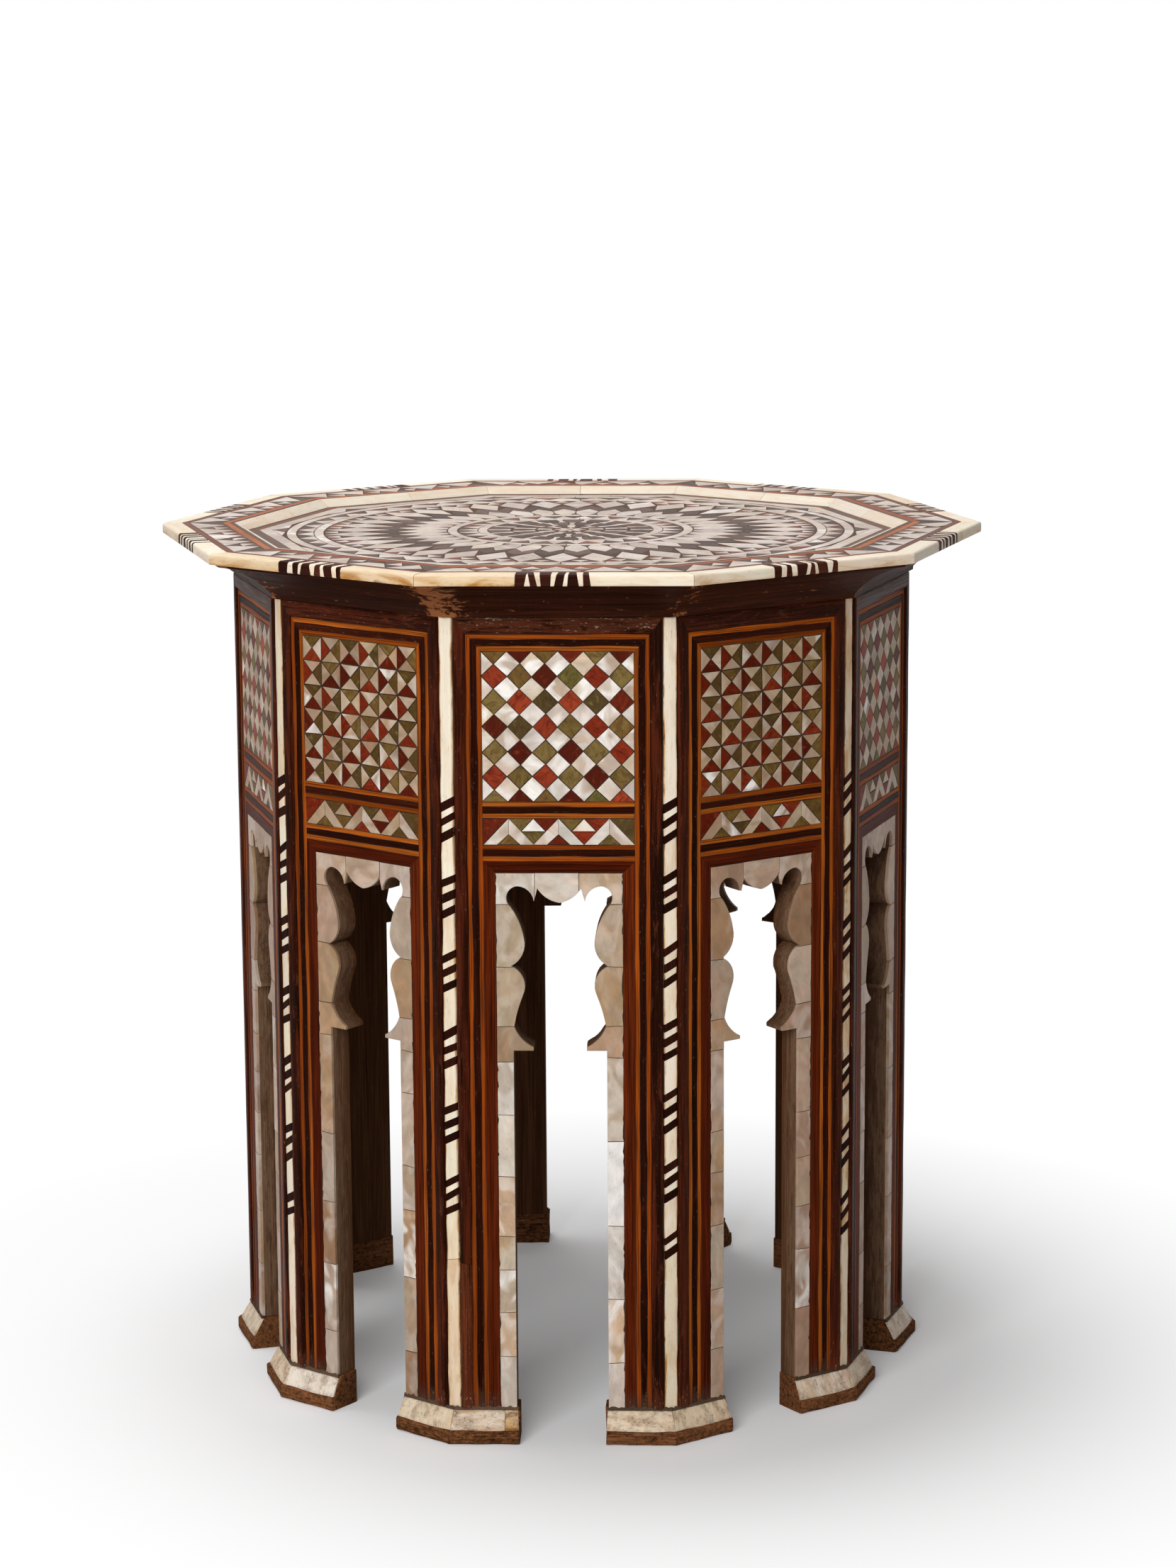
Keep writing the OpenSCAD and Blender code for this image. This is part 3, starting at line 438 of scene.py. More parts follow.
class Tree:
    """The nodes of a material or a world. The values of grain, tint and wear are kept in the meshes."""

    def __init__(self, owner):
        self.owner = owner
        owner.use_nodes = True
        self.tree = owner.node_tree
        self.tree.nodes.clear()

    def node(self, kind, inputs=(), output=0, **settings):
        """Adds a node and gives one of its outputs. An input takes a socket, which is linked, or a value."""
        made = self.tree.nodes.new(kind)
        for key, value in settings.items():
            setattr(made, key, value)
        for key, value in dict(inputs).items():
            if isinstance(value, bpy.types.NodeSocket):
                self.tree.links.new(value, made.inputs[key])
            else:
                made.inputs[key].default_value = value
        return made.outputs[output] if made.outputs else None

    @cached_property
    def grain(self):
        return self.node("ShaderNodeAttribute", output="Vector", attribute_name="grain")

    @cached_property
    def tint(self):
        return self.node("ShaderNodeAttribute", output="Color", attribute_name="tint")

    @cached_property
    def wear(self):
        return self.node("ShaderNodeAttribute", output="Fac", attribute_name="wear")

    def noise(self, scale, detail, roughness=0.55, distortion=0.0):
        """Noise in the piece's own grain: how often it changes in a mm along and across it."""
        place = self.node("ShaderNodeMapping", {"Vector": self.grain, "Scale": scale})
        return self.node("ShaderNodeTexNoise", {
            "Vector": place, "Scale": 1.0, "Detail": detail, "Roughness": roughness, "Distortion": distortion,
        })

    def spread(self, value, low, high, to_low=0.0, to_high=1.0):
        """Maps a range of a value to another range, held at both ends."""
        return self.node("ShaderNodeMapRange", {
            "Value": value, "From Min": low, "From Max": high, "To Min": to_low, "To Max": to_high,
        })

    def maths(self, operation, a, b):
        return self.node("ShaderNodeMath", {0: a, 1: b}, operation=operation)

    def plus(self, a, b):
        return self.maths("ADD", a, b)

    def minus(self, a, b):
        return self.maths("SUBTRACT", a, b)

    def times(self, a, b):
        return self.maths("MULTIPLY", a, b)

    def mix(self, factor, a, b, blend="MIX"):
        return self.node("ShaderNodeMix", {"Factor": factor, 6: a, 7: b}, 2, data_type="RGBA", blend_type=blend)

    def stain(self, colour, value, low, high, share, shown):
        """Another colour, in 8-bit sRGB and up to a share, where a value passes from low to high."""
        return self.mix(self.spread(value, low, high, 0.0, share), colour, rgb(*shown))

    def shaded(self, colour, value):
        grey = self.node("ShaderNodeCombineColor", {0: value, 1: value, 2: value})
        return self.mix(1.0, colour, grey, "MULTIPLY")

    def surface(self, colour, roughness, height, depth, specular=0.5, glint=(1, 1, 1)):
        bump = self.node("ShaderNodeBump", {"Strength": 1.0, "Distance": depth, "Height": height})
        shader = self.node("ShaderNodeBsdfPrincipled", {
            "Base Color": colour, "Roughness": roughness, "Normal": bump,
            "Specular IOR Level": specular, "Specular Tint": (*glint, 1.0),
        })
        self.node("ShaderNodeOutputMaterial", {"Surface": shader})
        return self.owner

    def seen_rays(self):
        """1 for the rays that see the background itself: the camera's, and those of gloss and glass."""
        kinds = self.tree.nodes.new("ShaderNodeLightPath").outputs
        first = self.maths("MAXIMUM", kinds["Is Camera Ray"], kinds["Is Glossy Ray"])
        return self.maths("MAXIMUM", first, kinds["Is Transmission Ray"])


def material_tree(name):
    return Tree(bpy.data.materials.new(name))


def pearl_material(name, cloud_low=0.80, brightest_painted_flash=1.0, pits=0.5):
    """Nacre: cloudy patches, fine growth bands, faint pink and green tints, and painted white highlights for its
    flashes.
    """
    t = material_tree(name)
    cloud = t.noise((0.07, 0.11, 0.08), 3.0, 0.55, 0.5)
    bands = t.noise((0.14, 0.6, 0.3), 3.0, 0.5, 0.8)
    hue = t.noise((0.07, 0.10, 0.07), 2.0, 0.5, 0.4)
    painted_glints = t.noise((0.06, 0.09, 0.05), 1.0, 0.4, 0.7)
    stains = t.noise((0.35, 0.9, 0.6), 4.0, 0.68, 0.5)
    shade = t.times(t.spread(cloud, 0.32, 0.66, cloud_low, 1.06), t.spread(bands, 0.3, 0.7, 0.97, 1.02))
    colour = t.shaded(t.tint, shade)
    colour = t.mix(t.spread(hue, 0.56, 0.72, 0.0, 0.5), colour, (0.80, 0.60, 0.54, 1), "SOFT_LIGHT")
    colour = t.mix(t.spread(hue, 0.44, 0.30, 0.0, 0.4), colour, (0.50, 0.60, 0.58, 1), "SOFT_LIGHT")
    # the wear of nacre is its share of painted white highlight, standing for its flashes
    painted_glint_share = t.times(t.spread(painted_glints, 0.42, 0.60), t.spread(bands, 0.25, 0.6, 0.85, 1.0))
    painted_glint_share = t.times(t.times(painted_glint_share, t.wear), t.spread(cloud, 0.3, 0.6, 0.5 * brightest_painted_flash, brightest_painted_flash))
    colour = t.mix(painted_glint_share, colour, (0.97, 0.93, 0.88, 1))
    colour = t.stain(colour, stains, 0.62, 0.76, pits, (128, 92, 60))
    rough = t.spread(bands, 0.3, 0.7, 0.26, 0.40)
    height = t.minus(bands, t.spread(stains, 0.64, 0.76))
    return t.surface(colour, rough, height, 0.00006, specular=0.06)


def bone_material(name, stain=0.5, mottled=0.0):
    """Bone: long faint streaks, short brown pores, and yellow-brown stains and knots that follow the wear."""
    t = material_tree(name)
    streaks = t.noise((0.015, 0.7, 0.5), 4.0, 0.6)
    patches = t.noise((0.03, 0.12, 0.12), 4.0, 0.62, 0.6)
    pores = t.noise((0.16, 1.8, 1.4), 2.0, 0.5)
    flecks = t.noise((0.10, 0.35, 0.3), 5.0, 0.7)
    colour = t.shaded(t.tint, t.spread(streaks, 0.3, 0.7, 0.92, 1.04))
    spoiled = t.plus(t.spread(patches, 0.45, 0.72, 0.0, stain),
                     t.times(t.wear, t.spread(patches, 0.30, 0.55, 0.15, 0.85)))
    spoiled = t.times(spoiled, t.spread(streaks, 0.25, 0.6, 0.6, 1.0))
    colour = t.mix(spoiled, colour, rgb(204, 150, 76))
    deep = t.times(t.wear, t.spread(patches, 0.50, 0.66))
    colour = t.mix(t.times(deep, t.spread(streaks, 0.3, 0.6, 0.3, 0.7)), colour, rgb(150, 92, 42))
    colour = t.stain(colour, pores, 0.66, 0.76, 0.45, (164, 116, 70))
    colour = t.stain(colour, flecks, 0.68, 0.76, 0.75, (98, 60, 34))
    height = t.minus(t.times(streaks, 0.4), t.spread(pores, 0.64, 0.76))
    soiled = t.spread(t.plus(t.wear, t.spread(flecks, 0.3, 0.7, -0.5, 0.5)), 1.0, 1.35, 0.0, 0.8)
    colour = t.mix(soiled, colour, rgb(104, 66, 38))
    if mottled:
        dirt = t.noise((0.55, 0.75, 0.75), 4.0, 0.7)
        cloud = t.noise((0.12, 0.16, 0.16), 4.0, 0.6)
        colour = t.stain(colour, cloud, 0.46, 0.64, mottled * 0.8, (160, 134, 110))
        grime = t.times(t.spread(dirt, 0.54, 0.64), t.spread(cloud, 0.35, 0.6, 0.25, 1.0))
        shown = t.times(grime, t.spread(t.wear, 0.0, 1.0, mottled * 0.6, mottled))
        colour = t.mix(shown, colour, rgb(78, 56, 42))
        height = t.minus(height, grime)
    rough = t.spread(streaks, 0.3, 0.7, 0.36, 0.52)
    return t.surface(colour, rough, height, 0.0001, specular=0.15)


def wood_material(
    name, contrast=0.35, rough=(0.4, 0.6), streak=0.5, streak_colour=(20, 7, 3), worn=0.0, worn_colour=(150, 92, 52),
    depth=0.00012, fine=1.1, specular=0.015, dust=0.25, film=0.0, film_from=0.0, film_colour=(134, 112, 92),
    blotch=0.0, blotch_colours=((154, 98, 56), (58, 38, 26)), blotch_scale=(0.10, 0.22, 0.22),
    scuff=(0.05, 0.22, 0.3),
):
    """Wood: fibres along the grain, dark streaks, broad figure, bare wood where it is worn, and dust."""
    t = material_tree(name)
    fibres = t.noise((0.02, fine, fine), 5.0, 0.65, 0.2)
    figure = t.noise((0.006, 0.16, 0.16), 4.0, 0.6, 1.0)
    streaks = t.noise((0.014, 1.7, 1.7), 4.0, 0.62)
    scuffs = t.noise(scuff, 6.0, 0.72, 0.4)
    specks = t.noise((0.30, 1.0, 1.0), 4.0, 0.65)
    shade = t.times(t.spread(fibres, 0.28, 0.72, 1 - contrast, 1 + contrast),
                    t.spread(figure, 0.3, 0.7, 1 - contrast * 0.7, 1 + contrast * 0.7))
    colour = t.shaded(t.tint, shade)
    colour = t.stain(colour, streaks, 0.50, 0.66, streak, streak_colour)
    bare = t.spread(t.plus(scuffs, t.times(t.wear, 0.25)), 0.62, 0.68, 0.0, worn)
    colour = t.mix(bare, colour, rgb(*worn_colour))
    if blotch:
        blotches = t.noise(blotch_scale, 5.0, 0.65, 0.5)
        for start, end, shown in ((0.50, 0.62, blotch_colours[0]), (0.46, 0.36, blotch_colours[1])):
            colour = t.stain(colour, blotches, start, end, blotch, shown)
    if film:
        settled = t.times(t.spread(t.wear, film_from, film_from + 1.0),
                          t.spread(scuffs, 0.35, 0.6, 0.3 * film, film))
        colour = t.mix(settled, colour, rgb(*film_colour))
    drifts = t.times(t.spread(t.wear, 0.3, 2.0), t.spread(scuffs, 0.36, 0.62, -0.04, 0.16))
    shown = t.times(t.spread(t.plus(specks, drifts), 0.64, 0.74), t.spread(t.wear, 0.0, 1.0, 0.35 * dust, 2 * dust))
    colour = t.mix(shown, colour, rgb(170, 148, 130))
    roughness = t.plus(t.spread(fibres, 0.3, 0.7, *rough), t.times(bare, 0.2))
    height = t.minus(fibres, t.times(t.spread(streaks, 0.5, 0.7), 0.7))
    return t.surface(colour, roughness, height, depth, specular=specular, glint=(1.0, 0.72, 0.5))


def stained_material(name, dark, light):
    """Coloured bone and horn of the mosaics: cloudy, with dark veins and specks."""
    t = material_tree(name)
    cloud = t.noise((0.16, 0.30, 0.2), 4.0, 0.62, 0.9)
    veins = t.noise((0.22, 1.0, 0.5), 4.0, 0.6, 0.6)
    colour = t.stain(t.tint, cloud, 0.46, 0.72, 0.75, dark)
    colour = t.stain(colour, cloud, 0.42, 0.26, 0.45, light)
    colour = t.stain(colour, veins, 0.62, 0.74, 0.6, (40, 22, 16))
    rough = t.spread(veins, 0.3, 0.7, 0.30, 0.46)
    return t.surface(colour, rough, veins, 0.0001, specular=0.02, glint=(1.0, 0.75, 0.6))


def mastic_material(name):
    """Mastic: crumbly, with paler patches."""
    t = material_tree(name)
    crumbs = t.noise((0.9, 0.9, 0.9), 5.0, 0.7)
    patches = t.noise((0.03, 0.03, 0.03), 3.0, 0.6)
    colour = t.stain(t.tint, patches, 0.4, 0.7, 0.5, (96, 76, 60))
    colour = t.shaded(colour, t.spread(crumbs, 0.3, 0.7, 0.6, 1.2))
    return t.surface(colour, 0.85, crumbs, 0.0002, specular=0.1)


PEARL = pearl_material("pearl")
FACING_PEARL = pearl_material("facing_pearl", 0.80, 0.75, 0.8)
TOP_PEARL = pearl_material("top_pearl", 0.84, 0.7, 0.6)
BONE = bone_material("bone", 0.2)
EDGE_BONE = bone_material("edge_bone", 0.35)
FOOT_BONE = bone_material("foot_bone", 0.2, 0.75)
BAR_WOOD = wood_material("bar_wood", 0.3, (0.35, 0.5), 0.3)
GRIME = {"film": 0.8, "film_from": 0.4, "film_colour": (74, 56, 46)}
# The pale specks and greyish film of this wood along the front header's upper edge are partly dust, partly painted
# sparkle and sheen
MOULDING_WOOD = wood_material(
    "moulding_wood", 0.65, (0.26, 0.5), 0.65, worn=0.35, worn_colour=(112, 62, 40), dust=0.55, specular=0.035,
    depth=0.0003, blotch=0.7, blotch_colours=((92, 38, 20), (14, 5, 2)), blotch_scale=(0.012, 0.24, 0.24),
    film=0.7, film_from=1.1, film_colour=(84, 64, 52),
)
STRING_WOOD = wood_material("string_wood", 0.45, (0.34, 0.5), 0.9, (66, 24, 6), fine=1.6, dust=0.15, **GRIME)
FILLET_WOOD = wood_material(
    "fillet_wood", 0.6, (0.34, 0.5), 0.6, worn=0.2, worn_colour=(112, 58, 30), dust=0.5, **GRIME,
)
BAND_WOOD = wood_material("band_wood", 0.6, (0.32, 0.5), 0.8, (28, 8, 4), dust=0.15, depth=0.0002, **GRIME)
INLAY_WOOD = wood_material("inlay_wood", 0.3, (0.36, 0.52), 0.35, (44, 24, 16), specular=0.05)
COVE_WOOD = wood_material(
    "cove_wood", 0.6, (0.36, 0.6), 0.6, worn=0.85, worn_colour=(150, 92, 56), dust=0.3, specular=0.03,
    scuff=(0.12, 0.20, 0.2),
)
BOARD_WOOD = wood_material("board_wood", 0.4, (0.6, 0.8), 0.5, (40, 20, 10), 0.3, (140, 98, 66), 0.0004, film=0.6)
FOOT_WOOD = wood_material(
    "foot_wood", 0.4, (0.6, 0.82), 0.35, (52, 26, 12), 0.5, (166, 112, 72), 0.0008, 0.6, dust=0.5, blotch=0.8,
    blotch_colours=((150, 94, 58), (44, 26, 18)), blotch_scale=(0.3, 0.45, 0.45), scuff=(0.3, 0.5, 0.5),
)
RED = stained_material("red_inlay", (72, 20, 12), (178, 74, 48))
GREEN = stained_material("green_inlay", (58, 46, 22), (150, 142, 72))
MASTIC = mastic_material("mastic")


def bare_wood_material(name):
    """Unfinished wood of the CAD nodes that stay: their grain runs along X of the table."""
    t = material_tree(name)
    t.grain = t.node("ShaderNodeTexCoord", output="Object")
    fibres = t.noise((18.0, 900.0, 900.0), 5.0, 0.65, 0.2)
    figure = t.noise((5.0, 90.0, 60.0), 4.0, 0.6, 1.2)
    colour = t.mix(t.spread(figure, 0.3, 0.7), rgb(96, 62, 40), rgb(138, 94, 62))
    colour = t.shaded(colour, t.spread(fibres, 0.3, 0.7, 0.7, 1.15))
    return t.surface(colour, t.spread(fibres, 0.3, 0.7, 0.6, 0.82), fibres, 0.0004)


bare = bare_wood_material("bare_wood")
for node in ("glue_blocks", "top_planks", "rim_frame"):
    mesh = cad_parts[node].data
    mesh.materials.clear()
    mesh.materials.append(bare)

# Boards: each is cut below into two legs and a lobed arch

ARCH = arch_half()
ARCH_LEFT = [np.array([-p[0], p[1]]) for p in ARCH[-2::-1]]
OPENING = [np.array([LEG_X, FOOT_H])] + ARCH + ARCH_LEFT + [np.array([-LEG_X, FOOT_H])]


def board(n):
    made = Pieces()
    flat_x = (STRIP_BACK_R - BOARD_A * COS) / SIN
    flat_end = polar(STRIP_BACK_R, HALF)
    outside_a = INNER_A + 7
    stations = (
        (INNER_A, INNER_A * TAN), (outside_a, outside_a * TAN), (-flat_end[1], flat_end[0]), (BOARD_A, flat_x),
    )
    grid = []
    for a, x in stations:
        rough = 0.0 if a == BOARD_A else 0.15
        cut = [p + rng.uniform(-rough, rough, 2) for p in OPENING[1:-1]]
        ring = [(x, FOOT_H), (x, PLANK_Z), (-x, PLANK_Z), (-x, FOOT_H), (-LEG_X, FOOT_H)]
        grid.append([(p[0], p[1], a - BOARD_A) for p in ring + cut[::-1] + [(LEG_X, FOOT_H)]])
    # the wear, and with it this wood's pale film, rises from the inner face to the front face, so the reveals are paler
    # and greyer towards the front
    dust = np.repeat([0.0, 0.5, 0.8, 1.0], len(grid[0]))
    made.loft(grid, tint("board"), on_face(n), fibre=90, wear=dust)
    made.build(f"board_{n}", BOARD_WOOD, [f"side_board_{n}"], "carcass_wood", sharp=40)


# Feet: worn blocks in two mitred arms, with faced bevels

def dented(points, amount=0.7, size=14):
    """Points pushed about by smooth noise, in mm, as by wear."""
    out = np.array(points, float)
    for p in out.reshape(-1, 3):
        p += np.array(noise.noise_vector(Vector(p) / size)) * amount
    return out


def foot_arm(made, n, hand):
    kick_a = FOOT_A - FOOT_LEDGE
    profile = [
        (INNER_A, 0.6), (INNER_A + 0.6, 0), (FOOT_A - 2.4, 0), (FOOT_A - 1.1, 0.35), (FOOT_A - 0.3, 1.2),
        (FOOT_A, 2.4), (FOOT_A, FOOT_KICK_H - 1.1), (FOOT_A - 0.4, FOOT_KICK_H - 0.3),
        (kick_a - 0.2, FOOT_KICK_H), (kick_a - INLAY_T, FOOT_KICK_H), (BOARD_A, FOOT_H), (INNER_A, FOOT_H),
    ]
    middle_a = (INNER_A + FOOT_A) / 2
    grid = []
    for t in (0.0, 0.012, 0.04, 0.12, 0.22, 0.34, 0.46, 0.58, 0.7, 0.82, 0.92, 1.0):
        # the sawn end is a little smaller, as its edges are rubbed off
        shrink = {0.0: 0.93, 0.012: 0.98}.get(t, 1.0)
        ring = []
        for a, z in profile:
            a = middle_a + (a - middle_a) * shrink
            ring.append((hand * (FOOT_END_X + (a * TAN - 0.03 - FOOT_END_X) * t), -a, z))
        grid.append(ring)
    grid = dented(grid)
    grid[..., 2] = np.clip(grid[..., 2], 0.0, FOOT_H)
    made.loft(grid, tint("foot"), on_side(n), fibre=0, wear=rng.uniform(0.1, 0.6))


def foot(n):
    made = Pieces()
    foot_arm(made, n, 1)
    foot_arm(made, n % SIDES + 1, -1)
    made.build(f"foot_block_{n}", FOOT_WOOD, [f"foot_{n}"], "foot_wood", sharp=50)


def foot_facings():
    made = Pieces()
    a_low, a_high = FOOT_A - FOOT_LEDGE, FACE_A
    slope = math.hypot(a_low - a_high, FOOT_H - FOOT_KICK_H)
    rise, back = (FOOT_H - FOOT_KICK_H) / slope, (a_low - a_high) / slope
    under = -1.9
    for n, hand in product(NUMBERS, (-1, 1)):
        r = turned(TURN * (n - 1))
        axes = np.column_stack([[1, 0, 0], [0, back, rise], [0, -rise, back]])
        at = place(r @ axes, r @ np.array([0, -a_low, FOOT_KICK_H]))
        tip = FOOT_END_X + FOOT_TIP_W + rng.uniform(-1.5, 1.5)
        wear = rng.uniform(0.0, 0.6)
        top = slope - rng.uniform(0.7, 1.3)
        foot_end = [(FOOT_END_X + 0.3, 0.2), (FOOT_END_X + 0.9, top)]
        corner = [(a_low * TAN - 0.2, 0), (a_high * TAN - 0.25, top)]
        runs = [((foot_end, corner), "foot_bone", wear)]
        if (n, hand) in ((1, -1), (5, 1), (8, -1)):
            # the tip was made anew of older bone
            cut = [(tip + 0.2, 0), (tip - 0.2 + rng.uniform(-0.5, 0.5), top)]
            runs = [((foot_end, cut), "old_bone", wear + 0.5), ((cut, corner), "foot_bone", wear)]
        for (start, end), kind, worn in runs:
            colour = tint(kind)
            grid = []
            for t in np.linspace(0, 1, 11):
                low, high = (np.array(a) * (1 - t) + np.array(b) * t for a, b in zip(start, end))
                # a pillowed surface, pulled in at the ends of the piece
                pull = 0.15 if 0 < t < 1 else 0.55
                top_edge = high - [0, (0.25 * math.sin(9 * t + n) + 0.25) * 0.5]
                ring = [(low, under), (low, -pull - 0.5)]
                ring += [(low + (high - low) * share, -pull + h)
                         for share, h in ((0.05, -0.12), (0.2, 0.08), (0.55, 0.12), (0.9, -0.05))]
                ring += [(top_edge, -pull - 0.55), (top_edge, under)]
                inset = {0: 0.12, 1: -0.12}.get(t, 0.0)
                grid.append([(hand * (p[0] + inset), p[1], h) for p, h in ring])
            made.loft(grid, colour, at, 90 * rng.integers(2), worn)
    made.build("foot_bevels", FOOT_BONE, ["foot_facing"], "bone", sharp=45)


# Cove under the top

def cove(n):
    made = Pieces()
    low = np.array([FACE_A + COVE_LIP, BODY_TOP + COVE_LIP])
    high = np.array([COVE_TOP_A - COVE_LIP, RIM_Z - COVE_LIP])
    slope = (high - low) / np.linalg.norm(high - low)
    hollow = arc(low, (low + high) / 2 + COVE_SAG * np.array([-slope[1], slope[0]]), high, 12)
    profile = [(BOARD_A, BODY_TOP), (low[0] - 0.5, BODY_TOP), (low[0] - 0.1, BODY_TOP + 0.3), low, *hollow]
    profile += [(COVE_TOP_A, high[1] + 0.3), (COVE_TOP_A, RIM_Z), (BOARD_A, RIM_Z)]
    swing, side_length = wander(0.35, 90), 160
    # the finish has come off most at the corner left of the front side
    left, right = (0.9 if n == bare_side else rng.uniform(0.0, 0.45) for bare_side in (1, SIDES))
    grid, wear = [], []
    for t in np.linspace(0, 1, 25):
        ring = []
        for a, z in profile:
            out = a if a == BOARD_A else a + float(swing(t * side_length + z * 3)) * 0.5 - 0.25
            x = out * TAN - 0.06
            ring.append((-x + 2 * x * t, -out, z))
            wear.append(max(left * (1 - t * 7), right * (1 - (1 - t) * 7), -0.1))
        grid.append(ring)
    made.loft(grid, tint("cove"), on_side(n), fibre=0, wear=np.array(wear))
    made.build(f"cove_side_{n}", COVE_WOOD, [f"cove_{n}"], "cove_wood", sharp=45)


# Bone strips down the corners, with groups of slanted bars

# How many groups of bars a corner has, and how far apart they are
BAR_GROUPS = {9: (7, 46.1), 10: (6, 48.5), 1: (7, 46.4), 2: (7, 45.9)}


def corner_strips():
    bone, bars = Pieces(), Pieces()
    for n in NUMBERS:
        at = upright_place(TURN * (n - 1) + HALF, STRIP_BACK_R)
        edges = wander(0.3, 70), wander(0.3, 70)
        groups, pitch = BAR_GROUPS.get(n, (7, 46.0) if n % 2 == 0 else (6, 48.0))
        cuts = []
        for g in range(groups):
            z = BODY_TOP - BAR_START - g * pitch + rng.uniform(-1.0, 1.0)
            for _ in range(2 if g == groups - 1 and n in (1, 6, 9) else 3):
                tall = BAR_H + rng.uniform(-0.7, 0.6)
                cuts.append((z - BAR_RISE, z - BAR_RISE - tall, BAR_RISE + rng.uniform(-1.0, 1.0)))
                z -= tall + BAR_GAP_H + rng.uniform(-0.6, 0.6)

        def piece(to, top, top_rise, bottom, bottom_rise, kind, wear=0.0):
            """A length of the strip between two slanted cuts, with softly rounded long edges."""
            grid, worn = [], []
            steps = max(2, int((top - bottom) / 7) + 1)
            for t in (i / (steps - 1) for i in range(steps)):
                z = bottom + (top - bottom) * t
                rise = bottom_rise + (top_rise - bottom_rise) * t
                left, right = (STRIP_W / 2 + float(edge(z)) - 0.15 for edge in edges)
                ring = []
                for x, h, dirt in (
                    (-left, 0, 1), (-left, 1.35, 1), (-left + 0.4, 1.85, 1), (-left + 1.2, 1.92, 0), (0, 2.0, 0),
                    (right - 1.2, 1.92, 0), (right - 0.4, 1.85, 1), (right, 1.35, 1), (right, 0, 1),
                ):
                    ring.append((x, z + rise * (x / STRIP_W + 0.5), h))
                    worn.append(wear + dirt * rng.uniform(0.4, 1.1))
                grid.append(ring)
            to.loft(grid, tint(kind), at, fibre=90, wear=np.array(worn))

        gap = 0.12
        top, top_rise = BODY_TOP - 0.1, 0.0
        for high, low, rise in cuts:
            wear = rng.uniform(0.5, 0.9) if n == 2 else rng.uniform(0, 0.25)
            piece(bone, top, top_rise, high + gap, rise, "bone", wear)
            piece(bars, high, rise, low, rise, "bar")
            top, top_rise = low - gap, rise
        if n in (10, 4, 7):
            # the longest piece, at the foot, is two with a crack between them
            crack = top - 28 + rng.uniform(-3, 3)
            piece(bone, top, top_rise, crack + 0.15, 1.5, "bone", 0.2)
            piece(bone, crack - 0.15, 1.5, LEG_END, 0.0, "old_bone", 0.3)
        else:
            piece(bone, top, top_rise, LEG_END, 0.0, "bone", 0.3)
    bone.build("bone_strips", BONE, ["corner_bone"], "bone", sharp=50)
    bars.build("strip_bars", BAR_WOOD, ["corner_bars"], "dark_wood", sharp=50)


# Borders of the faces. Every border line wanders a little, and the pieces on both sides follow it.

def rounded(top, bevel, proud=0.0):
    """Profile across a border piece: share of the way across, shift inwards and height."""
    if proud:
        return [
            (0, 0.06, 0), (0, 0.06, top), (0, 0.5, top + proud * 0.55), (0, 1.5, top + proud * 0.92),
            (0, 2.6, top + proud), (1, 2.8, top + proud), (1, 1.7, top + proud * 0.85),
            (1, 0.7, top + proud * 0.4), (1, 0.06, top), (1, 0.06, 0),
        ]
    return [(0, 0.05, 0), (0, 0.05, top - bevel), (0, 0.05 + bevel, top),
            (1, 0.05 + bevel, top), (1, 0.05, top - bevel), (1, 0.05, 0)]


def foot_grime(z):
    """Dirt gathers on the last centimetre above a foot."""
    return 1.3 * min(1.0, max(0.0, (FOOT_H + 14 - z) / 12))


def ribbon(made, outer, inner, profile, colour, at, fibre, wear=0.0, upright=False, edge_dust_and_sheen=0.0):
    """A border piece between two lines of points in the same order; an upright one is dirty at its foot."""
    grid, worn = [], []
    for o, i in zip(outer, inner):
        o, i = np.asarray(o, float), np.asarray(i, float)
        across = (i - o) / np.linalg.norm(i - o)
        ring = []
        for share, shift, h in profile:
            p = o + (i - o) * share + across * (shift if share < 0.5 else -shift)
            ring.append((p[0], p[1], h))
            grime = foot_grime(p[1]) if upright else 0.0
            worn.append(wear + grime + (edge_dust_and_sheen if share == 0 and shift < 1 else 0.0))
        grid.append(ring)
    made.loft(grid, colour, at, fibre, np.array(worn))


class FaceLines:
    """The wandering border lines of one face: uprights, the headers over them, and the cross strings."""

    x = BORDER_X + [BAND_X]
    z = BORDER_Z + [ARCH_TOP]

    def __init__(self):
        count = range(len(self.x))
        self.sideways = {(k, hand): wander(0.34, 110) for k in count for hand in (-1, 1)}
        self.level = [wander(0.28, 70) for _ in count]
        self.cross = [wander(0.25, 60) for _ in LEVELS]

    def corner(self, k, hand, z=None):
        high = (self.z[k] if z is None else z) + float(self.level[k](hand * self.x[k]))
        return np.array([hand * (self.x[k] + float(self.sideways[k, hand](high))), high])

    def upright(self, k, hand, z=None, low=LEG_END, high=None, steps=46):
        top = self.corner(k, hand, z)[1] if high is None else high
        return [(hand * (self.x[k] + float(self.sideways[k, hand](level))), level)
                for level in np.linspace(low, top, steps)]

    def header(self, k, z=None):
        left, right = self.corner(k, -1, z), self.corner(k, 1, z)
        level = self.z[k] if z is None else z
        inside = (left[0] + (right[0] - left[0]) * t for t in np.linspace(0, 1, 13)[1:-1])
        return [tuple(left), *((x, level + float(self.level[k](x))) for x in inside), tuple(right)]

    def across(self, i):
        level = LEVELS[i]
        left, right = (FIELD_X + float(self.sideways[4, hand](level)) - 0.05 for hand in (-1, 1))
        return [(x, level + float(self.cross[i](x))) for x in np.linspace(-left, right, 9)]


# Uprights of the moulding in which a length of another wood was let in, and its level
MENDED = (1, -1), (7, 1)
MEND_Z = 118.0
MEND_SLANT = 1.6


